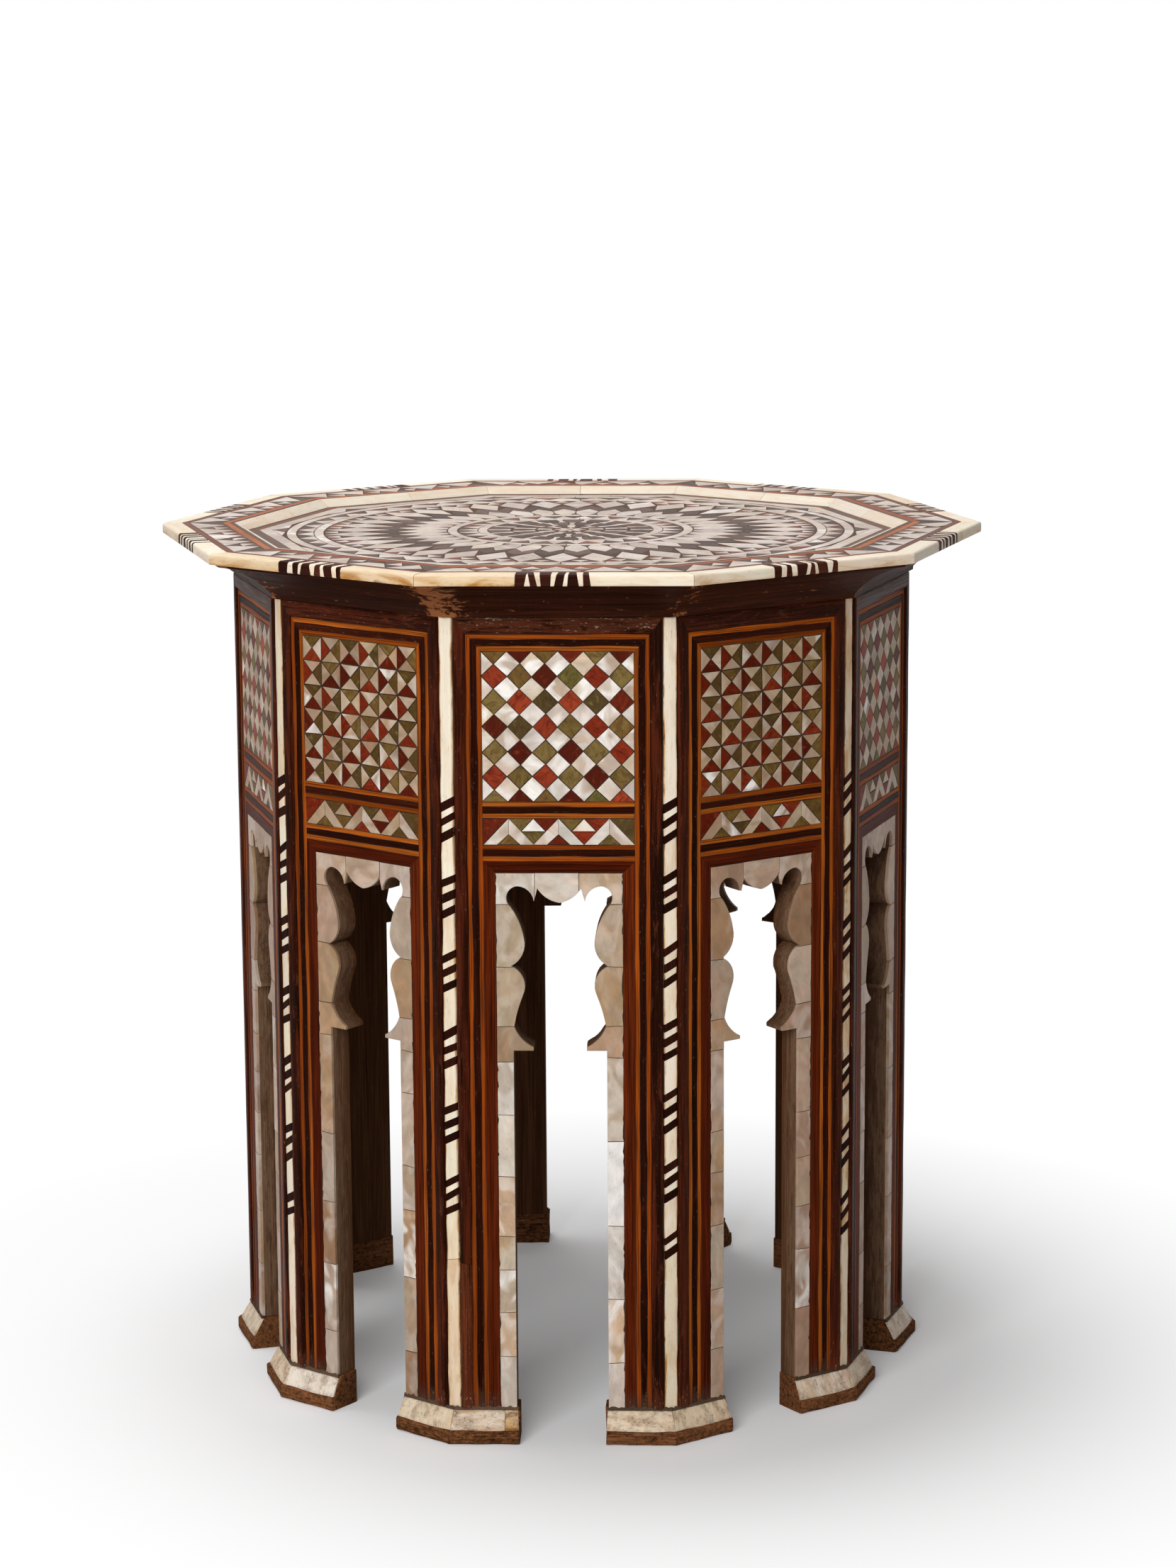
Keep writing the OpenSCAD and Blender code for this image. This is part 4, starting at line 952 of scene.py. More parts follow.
def borders():
    lines = {n: FaceLines() for n in NUMBERS}
    mouldings, strings, fillets, bands = (Pieces() for _ in range(4))
    flat = rounded(INLAY_T - 0.05, 0.25)
    string_fillet_string = (strings, "orange"), (fillets, "fillet"), (strings, "orange")
    for n in NUMBERS:
        at, line = on_face(n), lines[n]
        for k, (made, kind) in enumerate(((mouldings, "moulding"), *string_fillet_string)):
            profile = flat if k else rounded(INLAY_T, 0.3, MOULDING_PROUD)
            for hand in (-1, 1):
                low = inner_low = LEG_END
                if k == 0 and (n, hand) in MENDED:
                    ends = [line.upright(i, hand, high=MEND_Z - MEND_SLANT * i, steps=12) for i in (0, 1)]
                    ribbon(made, *ends, profile, tint("new_moulding"), at, 90, 0.3, True)
                    low = MEND_Z + 0.2
                    inner_low = low - MEND_SLANT
                outer, inner = line.upright(k, hand, low=low), line.upright(k + 1, hand, low=inner_low)
                ribbon(made, outer, inner, profile, tint(kind), at, 90, 0.15, True)
            # the moulding over the front side gets the most pale specks and greyish film, most of all along its upper
            # edge: partly dust, partly painted sparkle and sheen
            dust = 0.0 if k else 1.0 if n == 1 else rng.uniform(0.1, 0.4)
            ribbon(made, line.header(k), line.header(k + 1), profile, tint(kind), at, 0, 0.2 + 0.65 * dust,
                   edge_dust_and_sheen=1.6 * dust)
        for first in (0, 4):
            for i, (made, kind) in enumerate(string_fillet_string, first):
                ribbon(made, line.across(i), line.across(i + 1), flat, tint(kind), at, 0)
        # the red-brown band starts under the last cross string
        for hand in (-1, 1):
            outer, inner = line.upright(4, hand, BAND_TOP), line.upright(5, hand)
            ribbon(bands, outer, inner, flat, tint("band"), at, 90, 0.1, True)
        ends = line.header(4, BAND_TOP)
        top = [(x, BAND_TOP + float(line.cross[7](x)) - 0.05) for x, _ in ends[1:-1]]
        ribbon(bands, [ends[0], *top, ends[-1]], line.header(5), flat, tint("band"), at, 0)
    mouldings.build("panel_mouldings", MOULDING_WOOD, ["panel_moulding"], "moulding_wood", sharp=50)
    strings.build("string_inlay", STRING_WOOD, ["panel_strings"], "orange_wood")
    fillets.build("fillet_inlay", FILLET_WOOD, ["panel_fillets"], "dark_wood")
    bands.build("band_inlay", BAND_WOOD, ["panel_bands"], "red_brown_wood")


# Mosaics of the panels

def lattice():
    """Corners of the mosaic on a grid of half tiles, each moved a little as hand cutting does."""
    moved = {}
    last = 2 * TILES
    for i, j in product(range(last + 1), repeat=2):
        off = rng.uniform(-0.38, 0.38, 2) * (0 < i < last, 0 < j < last)
        moved[i, j] = np.array([-FIELD_X + i * TILE / 2, FIELD_TOP - j * TILE / 2]) + off
    return moved


def tessera(made, corners, kind, at, high=INLAY_T, gap=MASTIC_W):
    p = drawn_in(anticlockwise(corners), gap / 2 + rng.uniform(-0.05, 0.09))
    made.prism(p, 0.0, high + rng.uniform(-0.06, 0.03), tint(kind, 0.07), at, 0.16, None, painted_flash(kind), 0.07)


def fourths(triangle):
    """Three corners and the middle of a triangle cut into four."""
    a, b, c = (np.asarray(p) for p in triangle)
    ab, bc, ca = (a + b) / 2, (b + c) / 2, (c + a) / 2
    return (a, ab, ca), (b, bc, ab), (c, ca, bc), (ab, bc, ca)


def mosaics():
    made = {kind: Pieces() for kind in ("pearl", "red", "green")}
    for n in NUMBERS:
        at = on_face(n)
        # panels other than 1, 5 and 7 take the darker, duller copies of the inlay colours, with less painted highlight:
        # painted shade
        dull = "" if n in (1, 5, 7) else "dull_"
        mosaic = diamonds if n % 2 == 1 else squares
        mosaic(at, lattice(), made, dull)
        frieze(at, made, dull)
    made["pearl"].build("panel_shell", PEARL, ["panel_pearl"], "pearl")
    made["red"].build("panel_reds", RED, ["panel_red"], "red_inlay")
    made["green"].build("panel_greens", GREEN, ["panel_green"], "green_inlay")


def diamonds(at, grid, made, dull):
    """Pearl diamonds and rows of coloured ones, with halves of them at the borders."""
    for i, j in grid:
        corners = [grid[i + di, j + dj] for di, dj in ((-1, 0), (0, 1), (1, 0), (0, -1)) if (i + di, j + dj) in grid]
        if (i + j) % 2 == 0 or len(corners) < 3:
            continue
        if i % 2 == 0:
            tessera(made["pearl"], corners, dull + "pearl", at)
        else:
            kind = "red" if ((i - 1) // 2 + j // 2) % 2 == 1 else "green"
            tessera(made[kind], corners, kind, at)


def squares(at, grid, made, dull):
    """Squares cut into four along their diagonals: two quarters of pearl, a red one and a green one."""
    for i, j in product(range(TILES), repeat=2):
        nw, ne, sw, se = (grid[2 * i + di, 2 * j + dj] for di, dj in ((0, 0), (2, 0), (0, 2), (2, 2)))
        below, right, above, left = (sw, se), (se, ne), (ne, nw), (nw, sw)
        if (i + j) % 2 == 0:
            plan = (right, "pearl"), (left, "pearl"), (below, "red"), (above, "green")
        else:
            plan = (below, "pearl"), (above, "pearl"), (left, "red"), (right, "green")
        for (p, q), kind in plan:
            tessera(made[kind], (grid[2 * i + 1, 2 * j + 1], p, q), dull + kind, at)


def frieze(at, made, dull):
    """Pearl chevrons, with coloured triangles inside and between them."""
    low, high = FRIEZE_BOTTOM, FRIEZE_TOP
    inner_x, inner_h = TILE * 0.46, FRIEZE_H * 0.4

    def lay(kind, corners):
        tessera(made[kind], corners, dull + kind, at)

    for i in (-1, 0, 1):
        x = 2 * TILE * i + rng.uniform(-0.5, 0.5)
        # a chevron is mitred at its tip
        left = [(x - TILE, low), (x - inner_x, low), (x, low + inner_h), (x, high)]
        right = [(x + TILE, low), (x, high), (x, low + inner_h), (x + inner_x, low)]
        for half in (left, right):
            p = drawn_in(anticlockwise(half), 0.08)
            top, shell = INLAY_T + rng.uniform(-0.05, 0.03), dull + "pearl"
            made["pearl"].prism(p, 0, top, tint(shell, 0.07), at, 0.16, None, painted_flash(shell), 0.06)
        lay("green" if i else "red", [(x - inner_x, low), (x + inner_x, low), (x, low + inner_h)])
    for hand, inner, outer in ((-1, "red", "green"), (1, "green", "red")):
        quarters = fourths([(0, high), (hand * 2 * TILE, high), (hand * TILE, low)])
        for kind, corners in zip((inner, outer, outer, "pearl"), quarters):
            lay(kind, corners)
        lay(inner, [(hand * 3 * TILE, low), (hand * 3 * TILE, high), (hand * 2 * TILE, high)])


# Pearl facing of arch and legs

def ragged(points):
    """The outline of a facing piece with its edge beside the band nibbled, as the mastic's dark spots show."""
    out = []
    for i, q in enumerate(points):
        p = points[i - 1]
        out_p = max(abs(p[0]), abs(q[0])) > BAND_X - 0.6 and abs(p[0] - q[0]) < 0.5
        if out_p and abs(q[1] - p[1]) > 3:
            length, at = abs(q[1] - p[1]), rng.uniform(0.6, 3.0)
            while at < length - 0.6:
                bite = rng.uniform(0.0, 0.16) + (rng.uniform(0.25, 0.7) if rng.random() < 0.2 else 0.0)
                e = p + (q - p) * at / length
                out.append(np.array([e[0] - math.copysign(bite, e[0]), e[1]]))
                at += rng.uniform(0.8, 5.5)
        out.append(np.asarray(q, float))
    return np.array(out)


# Where the legs' facing is seamed in the photograph
SEAMS = {(1, -1): [56, 85, 113, 135, 174, 214], (1, 1): [52, 94, 142, 197]}


def seams(n, hand):
    """Levels of the seams in one leg of a face, from foot to springing."""
    low, z = [], FOOT_H
    while (n, hand) not in SEAMS:
        z += rng.uniform(26, 50)
        if z > 226:
            break
        low.append(z)
    return SEAMS.get((n, hand), low)


def facings():
    made = Pieces()
    shoulders = [np.array([BAND_X, ARCH_TOP]), np.array([BAND_X, FOOT_H])]
    whole = OPENING + [p * (-1, 1) for p in shoulders[::-1]] + shoulders
    half = [np.array([LEG_X, FOOT_H])] + ARCH + [np.array([0, ARCH_TOP])] + shoulders
    gap = 0.11
    seam_x = (LEG_X + BAND_X) / 2
    for n in NUMBERS:
        at = on_face(n)
        # facings other than those of sides 1 and 6 take a darker, duller copy of the nacre, with less painted
        # highlight: painted shade
        shell = "facing" if n in (1, 6) else "dull_facing"
        crown = (-15.2, 12.2) if n == 1 else (-rng.uniform(13.8, 15.2), rng.uniform(13.8, 15.2))
        part = clip(clip(whole, 0, crown[0] + gap, True), 0, crown[1] - gap, False)
        part = clip(part, 1, ARCH_SPRING + ARCH_RISE * 0.82, True)
        made.prism(drawn_in(anticlockwise(part), 0.05), 0, INLAY_T, tint(shell), at, 0.2, 0, painted_flash(shell), 0.05)
        for hand in (-1, 1):
            levels = [LEG_END, *seams(n, hand), ARCH_SPRING - 6 + rng.uniform(-2, 2)]
            levels += [ARCH_SPRING + ARCH_RISE * f + rng.uniform(-0.8, 0.8) for f in (0.137, 0.478, 0.82)]
            levels.append(ARCH_TOP - 0.05)
            slants = [0.0, *rng.uniform(-0.06, 0.06, len(levels) - 3), 0.0, 0.0]
            for i in range(len(levels) - 1):
                (z0, z1), (lean0, lean1) = levels[i:i + 2], slants[i:i + 2]
                part = clip(half, 1, z0 + gap - lean0 * seam_x, True, lean0)
                part = clip(part, 1, z1 - gap - lean1 * seam_x, False, lean1)
                part = clip(part, 0, BAND_X - 0.1, False)
                if i == len(levels) - 2:
                    part = clip(part, 0, abs(crown[0] if hand < 0 else crown[1]) + gap, True)
                p = np.array([(hand * q[0], q[1]) for q in part])
                # a seam may cut the outline close to a cusp
                keep = np.linalg.norm(p - np.roll(p, 1, 0), axis=1) > SHORTEST_EDGE
                p = ragged(drawn_in(anticlockwise(p[keep]), 0.04))
                high = INLAY_T + rng.uniform(-0.08, 0.05)
                # the nacre of the lobes is duller than that of the legs, and gets less painted highlight
                lobe = ARCH_SPRING - 10 < z0 < ARCH_SPRING + ARCH_RISE * 0.7
                painted_shine = painted_flash(shell) * (0.3 if lobe else 1.0)
                colour = tint(shell, 0.12) * ((0.84, 0.77, 0.73) if lobe and shell == "facing" else 1.0)
                made.prism(p, 0, high, colour, at, 0.2, 90 + rng.uniform(-30, 30), painted_shine, 0.08)
    made.build("arch_facing", FACING_PEARL, ["arch_pearl"], "pearl", sharp=28)


# Mastic: in the joints of the feet, and under the inlay, a little below its surface

def foot_mastic():
    """The rough line of mastic in the joint between each foot and the leg above it."""
    made = Pieces()
    for n, hand in product(NUMBERS, (-1, 1)):
        tall, proud = wander(0.75, 9), wander(0.16, 7)
        grid = []
        for x in np.linspace(FOOT_END_X + 0.9, FACE_A * TAN - 0.1, 34):
            h = max(0.15, 0.8 + float(tall(x)) + rng.uniform(-0.45, 0.45))
            b = max(0.0, 0.12 + float(proud(x)) + rng.uniform(-0.05, 0.05))
            ring = [
                (-0.4, -1.3), (0.72 + b, -1.2), (0.42 + b, -0.2), (0.16 + 0.5 * b, 0.5 * h), (0.08, h), (-0.4, h - 0.1),
            ]
            grid.append([(hand * x, -FACE_A - a, FOOT_H + z) for a, z in ring])
        made.loft(grid, tint("dirt"), on_side(n))
    made.build("foot_mastic", MASTIC, [], "brown_wood")


def mastic_beds():
    made = Pieces()
    x, z, low = MOULD_X + 0.15, BODY_TOP + 0.15, FOOT_H - 0.45
    outline = [(x, low), (x, z), (-x, z), (-x, low), (-LEG_X, low), *OPENING[-2:0:-1], (LEG_X, low)]
    face = drawn_in(anticlockwise(outline), 0.45)
    out_a, in_a = EDGE_IN_A - 0.2, LIP_A + 0.2
    band = [(-in_a * TAN, -in_a), (in_a * TAN, -in_a), (out_a * TAN, -out_a), (-out_a * TAN, -out_a)]
    for n in NUMBERS:
        made.prism(face, 0.01, INLAY_T - BED, tint("mastic"), on_face(n), 0.03, 90)
        made.prism(band, INLAY_Z + 0.01, HEIGHT - TOP_BED - 0.1, tint("top_mastic"), on_side(n), 0.02)
    field_r = (WALL_A - 0.3) / COS
    outline = [polar(field_r, HALF + TURN * i) for i in range(SIDES)]
    made.prism(outline, RIM_Z + 0.01, TRAY_Z - TOP_BED, tint("top_mastic"), np.eye(4), 0.02)
    made.build("mastic_beds", MASTIC, [], "brown_wood")


# Bone edge of the top

def edge_profile(upper_r=1.8, lower_r=0.9):
    """The edge's section as distances from the axis and levels, rounded above and below."""
    low, high = EDGE_A - lower_r, EDGE_A - upper_r
    points = [(EDGE_IN_A + 0.05, RIM_Z), (low, RIM_Z)]
    points += [(low + lower_r * math.sin(a), RIM_Z + lower_r - lower_r * math.cos(a)) for a in (0.5, 1.05, 1.5)]
    points += [(high + upper_r * math.cos(a), HEIGHT - upper_r + upper_r * math.sin(a))
               for a in (0.0, 0.4, 0.8, 1.2, 1.57)]
    return [*points, (EDGE_IN_A + 0.05, HEIGHT)]


def edge():
    bone, bars = Pieces(), Pieces()
    profile = edge_profile()
    saw, half_side = 0.04, 75

    def run(made, start, end, kind, wear):
        """A length of the edge between two cuts, each a place and a lean; None is the mitre at the corner."""
        reach = (end[0] if end else half_side) - (start[0] if start else -half_side)
        grid, worn = [], []
        for t in np.linspace(0, 1, max(2, int(reach / 12) + 1)):
            ring = []
            for a, z in profile:
                rise = (z - RIM_Z) / EDGE_H - 0.5 + (EDGE_A - a) / EDGE_W * 0.6
                x0 = start[0] + saw + start[1] * rise if start else -a * TAN + open_mitre
                x1 = end[0] - saw + end[1] * rise if end else a * TAN - open_mitre
                x = x0 + (x1 - x0) * t
                out = a if a < EDGE_IN_A + 1 else min(a - 0.12 + float(swing(x)) * 0.12, EDGE_A - 0.03)
                high = z if z < RIM_Z + 1 else min(z + float(swing(x + 300)) * 0.1 - 0.08, HEIGHT - 0.02)
                ring.append((x, -out, high))
                # the stains and soiling of each length grow towards its lower edge
                worn.append(wear * max(0.0, min(1.0, 1.25 - (z - RIM_Z) / 5.5)))
            grid.append(ring)
        made.loft(grid, tint(kind), on_side(n), 0, np.array(worn))

    for n in NUMBERS:
        swing = wander(1.0, 150)
        open_mitre = 0.22 if n in (1, 2, 6) else 0.1
        # dark bars with slivers of bone between them, which widen upwards or downwards
        wide, narrow, sliver = (5.4, 7.6), (3.4, 5.2), (2.2, 4.2)
        widths = [rng.uniform(*limits) for limits in ((wide, sliver, narrow, sliver) * 3)[:-1]]
        first = -sum(widths) / 2 + rng.uniform(-2, 2)
        cuts = [(x, rng.uniform(-1.7, 1.7)) for x in first + np.concatenate([[0], np.cumsum(widths)])]
        for i in range(len(widths)):
            made, kind, wear = (bone, "bone", 0.3) if i % 2 else (bars, "edge_bar", 0.0)
            run(made, cuts[i], cuts[i + 1], kind, wear)
        wears = (1.0, 0.15) if n in (1, 5) else rng.uniform(0.1, 0.8, 2)
        if n == SIDES:
            wears = 0.8, 1.1
        for start, end, wear in ((None, cuts[0], wears[0]), (cuts[-1], None, wears[1])):
            run(bone, start, end, "old_bone" if wear > 0.7 else "bone", wear)
    bone.build("edge_bones", EDGE_BONE, ["edge_bone"], "bone", sharp=40)
    bars.build("edge_stripes", BAR_WOOD, ["edge_bars"], "dark_wood", sharp=40)


# Inlay of the rim

def rim():
    strings, dark_strings, pearl, dark = (Pieces() for _ in range(4))
    high = HEIGHT - 0.14 - INLAY_Z
    flat = rounded(high, 0.2)
    units = 5
    out_half, in_half = RIM_BAND_A * TAN, RIM_STRING_A * TAN
    for n in NUMBERS:
        at = on_side(n, INLAY_Z)
        swings = [wander(0.25, 110) for _ in range(5)]

        def at_line(k):
            a = RIM_A[k]
            xs = np.linspace(-a * TAN + 0.05, a * TAN - 0.05, 9)
            inside = [(x, -a - float(swings[k](x))) for x in xs[1:-1]]
            return [(xs[0], -a), *inside, (xs[-1], -a)]

        for made, k, kind in ((strings, 0, "rim_brown"), (strings, 2, "rim_orange"), (dark_strings, 3, "dark")):
            ribbon(made, at_line(k), at_line(k + 1), flat, tint(kind), at, 0)
        shift = rng.uniform(-0.6, 0.6, (2, units + 1))
        shift[0][[0, units]] = 0
        outer = [(out_half * (2 * i / units - 1) + shift[0][i], -RIM_BAND_A) for i in range(units + 1)]
        inner = [(in_half * (2 * (i + 0.5) / units - 1) + shift[1][i], -RIM_STRING_A) for i in range(units)]
        for i in range(units):
            tessera(pearl, (outer[i], outer[i + 1], inner[i]), "top_pearl", at, high)
        for i in range(1, units):
            kind = "warm_dark" if rng.random() < 0.3 else "dark"
            *corners, heart = fourths((outer[i], inner[i], inner[i - 1]))
            for part in corners:
                tessera(dark, part, kind, at, high)
            tessera(pearl, heart, "top_pearl", at, high)
        tessera(dark, (outer[0], inner[0], (-in_half, -RIM_STRING_A)), "dark", at, high)
        tessera(dark, (outer[-1], (in_half, -RIM_STRING_A), inner[-1]), "dark", at, high)
    strings.build("rim_string_inlay", INLAY_WOOD, ["rim_strings"], "orange_wood")
    dark_strings.build("rim_dark_inlay", INLAY_WOOD, ["rim_dark_strings"], "dark_wood")
    pearl.build("rim_shell", TOP_PEARL, ["rim_pearl"], "pearl")
    dark.build("rim_triangles", INLAY_WOOD, ["rim_dark"], "brown_wood")


def tray_walls():
    made = Pieces()
    profile = [
        (WALL_A + 0.1, RIM_Z + 0.2), (WALL_A + 0.1, TRAY_Z + 0.1), (WALL_TOP_A - 0.7, HEIGHT - 0.45),
        (WALL_TOP_A, HEIGHT - 0.12), (LIP_A - 0.05, HEIGHT - 0.12), (LIP_A - 0.05, INLAY_Z - 1.5),
        (WALL_A + WALL_T, RIM_Z + 0.2),
    ]
    for n in NUMBERS:
        seam = rng.uniform(-0.2, 0.2)
        for start, end in ((-1.0, seam - 0.002), (seam + 0.002, 1.0)):
            grid = [[((a * TAN - 0.1) * t, -a, z) for a, z in profile] for t in np.linspace(start, end, 6)]
            made.loft(grid, tint("tray_bone"), on_side(n), 0, rng.uniform(0.0, 0.2))
    made.build("tray_bone", BONE, ["tray_wall"], "bone", sharp=30)


# Field of the tray

def field():
    band, line, rings, pearl, dark, red = (Pieces() for _ in range(6))
    high = TRAY_Z - RIM_Z

    def at(a):
        return place(turned(a), (0, 0, RIM_Z))

    def lay(made, kind, a, corners, gap=MASTIC_W):
        """A piece between corners given as radii and angles, turned by a degrees."""
        tessera(made, [polar(*corner) for corner in corners], kind, at(a), high, gap)

    def strip(n, a0, a1, t0, t1, steps, made, kind, top=high, bevel=0.15):
        """A length of a straight strip along side n; 1 is the end of a side."""
        outer, inner = ([(a * TAN * t, -a) for t in np.linspace(t0, t1, steps)] for a in (a0, a1))
        ribbon(made, outer, inner, rounded(top, bevel), tint(kind), on_side(n, RIM_Z), 0)

    # on one side a dark strip between the wall and the band is a painted shadow gap, and the band has a notch at the
    # far side
    notch_side, painted_shadow_gap_side = 6, 8
    outer_a, inner_a, end = WALL_A - 0.15, LINE_A + 0.1, 0.9985
    for n in NUMBERS:
        # draws that nothing uses, passed over so that the later ones stay as they are
        rng.uniform(size=16)
        if n == painted_shadow_gap_side:
            # the dark strip at the foot of the wall: painted shadow
            strip(n, WALL_A - 0.1, WALL_A - 1.5, -1, 1, 3, band, "bar", high - 0.5, 0.1)
            strip(n, WALL_A - 1.55, inner_a, -end, end, 7, band, "field_band")
        elif n == notch_side:
            strip(n, outer_a, inner_a, -end, -0.018, 4, band, "field_band")
            strip(n, outer_a, inner_a, 0.018, end, 4, band, "field_band")
            strip(n, outer_a, LINE_A + 3.4, -0.0165, 0.0165, 2, band, "bar")
        else:
            strip(n, outer_a, inner_a, -end, end, 7, band, "field_band")
        cuts = [-1.0, rng.uniform(-0.6, -0.2), rng.uniform(0.1, 0.5), 1.0]
        for t0, t1 in zip(cuts[:-1], cuts[1:]):
            strip(n, LINE_A - 0.1, SPANDREL_A + 0.15, t0 + 0.002, t1 - 0.002, 3, line, "top_pearl")
        corner, middle_r = (SPANDREL_A / COS, 0), SPANDREL_A / math.cos(math.radians(HALF / 2))
        turn = HALF + TURN * (n - 1)
        for hand in (-1, 1):
            lay(pearl, "top_pearl", turn, (corner, (middle_r, hand * HALF / 2), (SPANDREL_A, hand * HALF / 5)))
        lay(dark, "dark", turn, (corner, (SPANDREL_A, HALF / 5), (SPANDREL_A, -HALF / 5)))

    for r, count in ((RING_A_R, 40), (RING_B_R, 36), (RING_C_R, 18), (RING_D_R, 14)):
        cuts = np.sort((np.arange(count) + rng.uniform(-0.2, 0.2, count)) * 360 / count)
        seam = 0.25 / r * 180 / math.pi
        for a0, a1 in zip(cuts, np.append(cuts[1:], cuts[0] + 360)):
            angles = np.linspace(a0 + seam, a1 - seam, 6)
            outline = [polar(r, a) for a in angles] + [polar(r - RING_W, a) for a in angles[::-1]]
            top = high + rng.uniform(-0.05, 0.03)
            rings.prism(outline, 0, top, tint("top_pearl", 0.06), at(0), 0.15, None, painted_flash("top_pearl"), 0.04)

    # zigzags of pearl triangles between the rings
    for count, inner_r, outer_r in ((50, RING_B_R, RING_A_R), (30, RING_D_R, RING_C_R)):
        step, r0, r1 = 360 / count, inner_r + MASTIC_W, outer_r - RING_W - MASTIC_W
        for i in range(count):
            wobble = rng.uniform(-0.05, 0.05) * step
            lay(pearl, "top_pearl", i * step, ((r0, 0), (r0, step), (r1, step / 2 + wobble)))
            kind = "dark" if rng.random() < 0.75 else "warm_dark"
            lay(dark, kind, i * step, ((r1, -step / 2), (r1, step / 2), (r0, wobble)))

    # the star of lozenges and the sunburst inside it
    step = 360 / STAR_N
    half = step / 2
    base_r = RING_C_R + MASTIC_W
    shoulder_r = base_r + 8
    for i in range(STAR_N):
        a = i * step
        lay(pearl, "top_pearl", a, (
            (LOZENGE_TIP_R, 0), (LOZENGE_R, half - 0.1), (STAR_OUT_R, 0), (LOZENGE_R, -half + 0.1),
        ))
        gap = [polar(LOZENGE_R + 2 * MASTIC_W, half), polar(STAR_OUT_R, step * 0.05), polar(STAR_OUT_R, step * 0.95)]
        *corners, heart = fourths(gap)
        for part in corners:
            tessera(red, part, "warm_dark" if i % 3 else "dark", at(a), high)
        tessera(pearl, heart, "top_pearl", at(a), high)
        lay(dark, "dark", a, (
            (LOZENGE_TIP_R, 0), (BURST_NOTCH_R, 0), (BURST_R, half), (BURST_NOTCH_R, step), (LOZENGE_TIP_R, step),
            ((LOZENGE_R + LOZENGE_TIP_R) / 2, half),
        ))
        a = (i + 0.5) * step
        lay(pearl, "top_pearl", a, (
            (base_r, -step / 4), (base_r, step / 4), (shoulder_r, half - 0.15), (BURST_NOTCH_R, half), (BURST_R, 0),
            (BURST_NOTCH_R, -half), (shoulder_r, -half + 0.15),
        ))
        lay(dark, "dark", a, ((base_r, step * 0.26), (base_r, step * 0.74), (shoulder_r, half)))

    # the rosette: rings of barrel-shaped dark pieces with slender pearl between them, round a star
    for inside, outside, count, widths, start in (
        (15, 0, 18, (0.30, 0.40, 0.36), 0.0),
        (31, 16, 14, (0.26, 0.38, 0.33), 0.5),
        (42, 32, 9, (0.16, 0.30, 0.26), 0.0),
    ):
        turn = 360 / count
        r0, r1 = ROSETTE_R - inside, ROSETTE_R - outside
        radii = (r0, (r0 + r1) / 2, r1)
        for i in range(count):
            swell = np.array(widths) * rng.uniform(0.92, 1.06)
            rest = 0.5 - np.array(widths) * 1.06
            for made, kind, shares, off, gap in (
                (dark, "dark", swell, start, 0.6), (pearl, "top_pearl", rest, start + 0.5, 0.2),
            ):
                left, right = ([(r, hand * w * turn) for r, w in zip(radii, shares)] for hand in (-1, 1))
                lay(made, kind, (i + off) * turn, left + right[::-1], gap)
    tip_r = ROSETTE_R - 43
    for i in range(8):
        lay(pearl, "top_pearl", i * 45, ((0.4, 0), (6, 21.5), (tip_r, 0), (6, -21.5)), 0.3)
        lay(dark, "warm_dark", i * 45, ((6.6, 22.5), (tip_r, 3), (tip_r, 42)), 0.3)
    band.build("field_band_inlay", INLAY_WOOD, ["field_band"], "brown_wood")
    line.build("field_line_shell", TOP_PEARL, ["field_line"], "pearl")
    rings.build("field_ring_shell", TOP_PEARL, ["field_rings"], "pearl")
    pearl.build("field_shell", TOP_PEARL, ["field_pearl"], "pearl")
    dark.build("field_browns", INLAY_WOOD, ["field_dark"], "brown_wood")
    red.build("field_reds", INLAY_WOOD, ["field_red"], "red_inlay")


for n in NUMBERS:
    board(n)
    foot(n)
    cove(n)
foot_facings()
corner_strips()
borders()
mosaics()
facings()
mastic_beds()
edge()
rim()
tray_walls()
field()
foot_mastic()

# Camera, fitted to the corners of the top in the photograph: angles in radians, places in radii of the top

YAW, PITCH, ROLL, SWING = 0.0042, 0.1904, -0.006, 0.0397
BACK, ABOVE = 9.3394, 3.2148
PHOTO_W, FOCAL_PX, SENSOR_W = 1659, 5426.8, 36.0

forward = Vector((math.sin(YAW) * math.cos(PITCH), math.cos(YAW) * math.cos(PITCH), -math.sin(PITCH)))
right = Vector((math.cos(YAW), -math.sin(YAW), 0))
up = right.cross(forward)
right, up = right * math.cos(ROLL) + up * math.sin(ROLL), up * math.cos(ROLL) - right * math.sin(ROLL)
R = TOP_R / 1000
view = Matrix((
    (right.x, up.x, -forward.x, 0),
    (right.y, up.y, -forward.y, -BACK * R),
    (right.z, up.z, -forward.z, ABOVE * R),
    (0, 0, 0, 1),
))
camera_data = bpy.data.cameras.new("camera")
camera_data.sensor_fit = "HORIZONTAL"
camera_data.sensor_width = SENSOR_W
camera_data.lens = SENSOR_W * FOCAL_PX / PHOTO_W
camera_data.clip_start, camera_data.clip_end = 0.05, 60
camera = bpy.data.objects.new("camera", camera_data)
camera.matrix_world = Matrix.Rotation(SWING, 4, "Z") @ view
bpy.context.scene.collection.objects.link(camera)
bpy.context.scene.camera = camera

# Floor, light and world

WHITE = (1, 1, 1, 1)


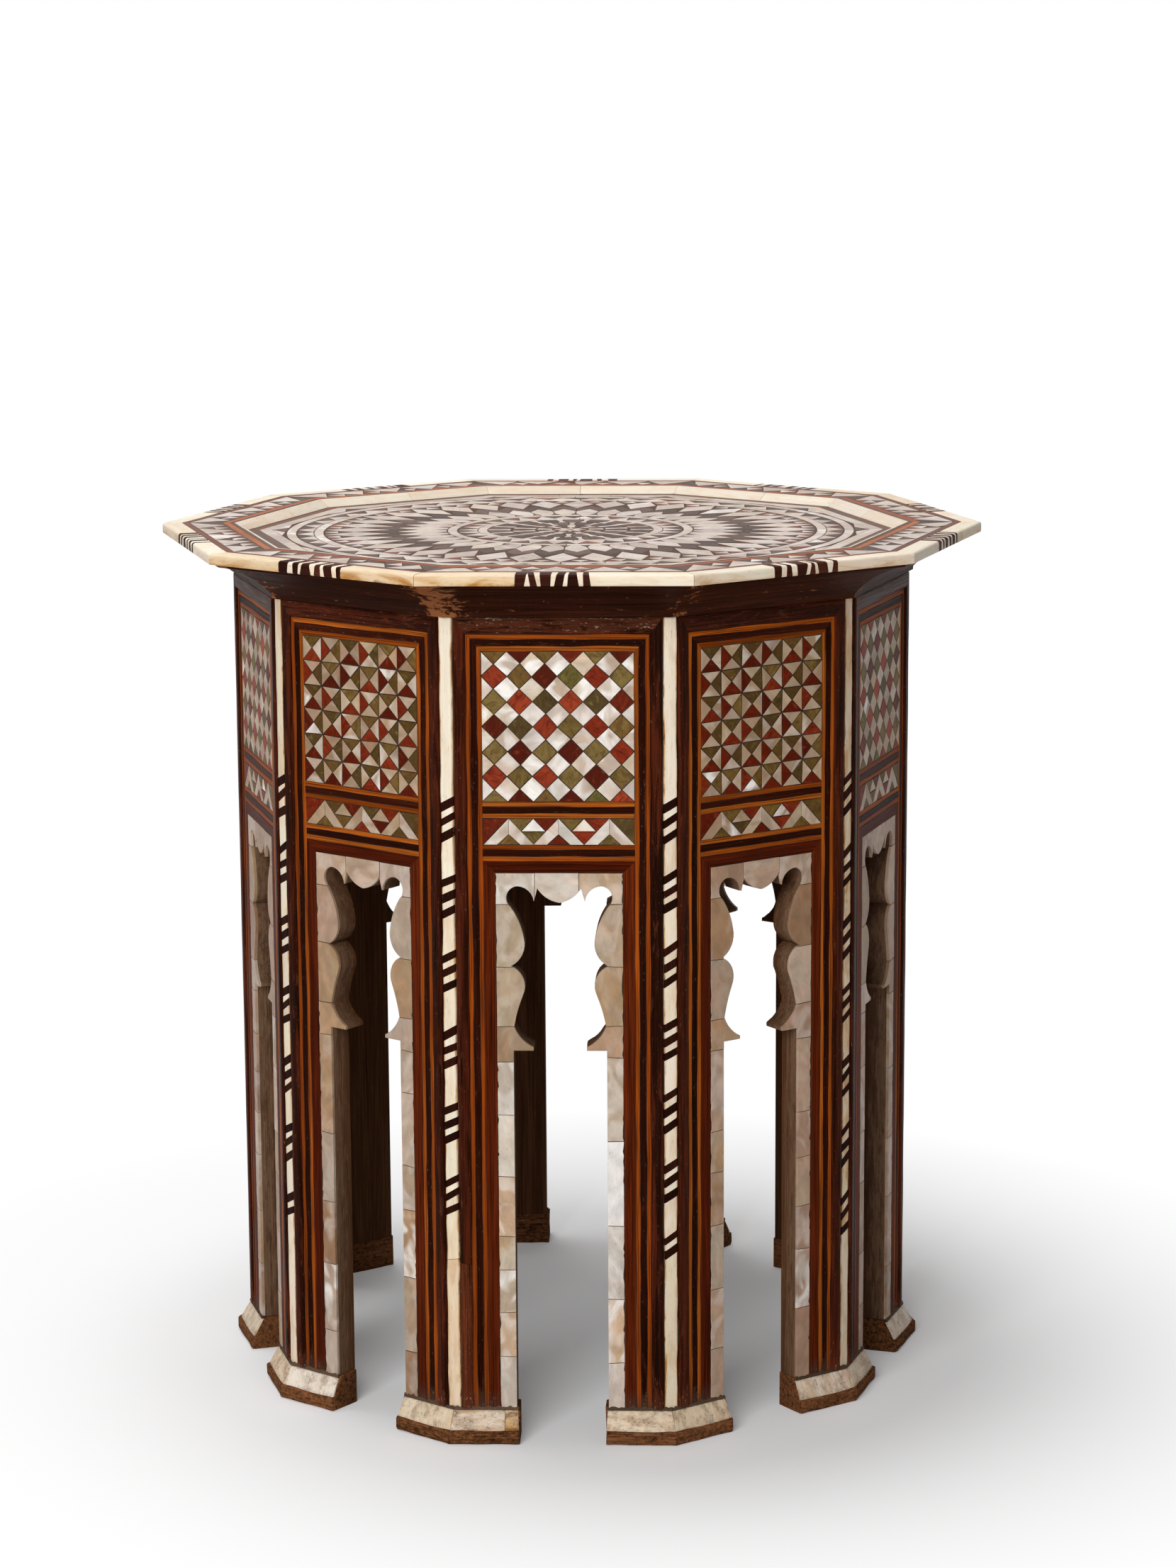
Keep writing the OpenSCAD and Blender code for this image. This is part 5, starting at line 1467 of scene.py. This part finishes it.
def floor():
    """A pale floor that keeps the shadow and goes over into the white backdrop away from the table."""
    size = 14.0
    mesh = bpy.data.meshes.new("floor")
    mesh.from_pydata([(-size, -size, 0), (size, -size, 0), (size, size, 0), (-size, size, 0)], [], [(0, 1, 2, 3)])
    t = material_tree("floor")
    plain = t.node("ShaderNodeBsdfDiffuse", {"Color": (0.80, 0.80, 0.805, 1)})
    pale = t.node("ShaderNodeBsdfDiffuse", {"Color": (0.95, 0.95, 0.955, 1)})
    glow = t.node("ShaderNodeEmission", {"Strength": 0.12})
    white = t.node("ShaderNodeEmission", {"Strength": 1.0})
    both = t.node("ShaderNodeAddShader", {0: pale, 1: glow})
    position = t.node("ShaderNodeNewGeometry", output="Position")
    apart = t.node("ShaderNodeVectorMath", {0: position}, "Value", operation="LENGTH")
    seen = t.node("ShaderNodeMixShader", {0: t.spread(apart, 0.27, 0.56), 1: both, 2: white})
    mix = t.node("ShaderNodeMixShader", {0: t.seen_rays(), 1: plain, 2: seen})
    t.node("ShaderNodeOutputMaterial", {"Surface": mix})
    mesh.materials.append(t.owner)
    obj = bpy.data.objects.new("floor", mesh)
    bpy.context.scene.collection.objects.link(obj)


def area_light(name, position, target, size, power):
    data = bpy.data.lights.new(name, "AREA")
    data.shape = "RECTANGLE"
    data.size = data.size_y = size
    data.energy = power
    obj = bpy.data.objects.new(name, data)
    obj.location = position
    obj.rotation_euler = (Vector(target) - Vector(position)).to_track_quat("-Z", "Y").to_euler()
    bpy.context.scene.collection.objects.link(obj)


floor()
area_light("front", (-0.7, -2.6, 1.5), (0, 0, 0.3), size=1.6, power=56)
area_light("above", (-0.35, 0.30, 2.4), (0, 0, 0.2), size=1.2, power=29)

world = bpy.data.worlds.new("world")
bpy.context.scene.world = world
t = Tree(world)
ambient = t.node("ShaderNodeBackground", {"Color": WHITE, "Strength": 0.17})
backdrop = t.node("ShaderNodeBackground", {"Color": WHITE, "Strength": 1.0})
t.node("ShaderNodeOutputWorld", {
    "Surface": t.node("ShaderNodeMixShader", {0: t.seen_rays(), 1: ambient, 2: backdrop}),
})

bpy.context.scene.view_settings.view_transform = "Standard"
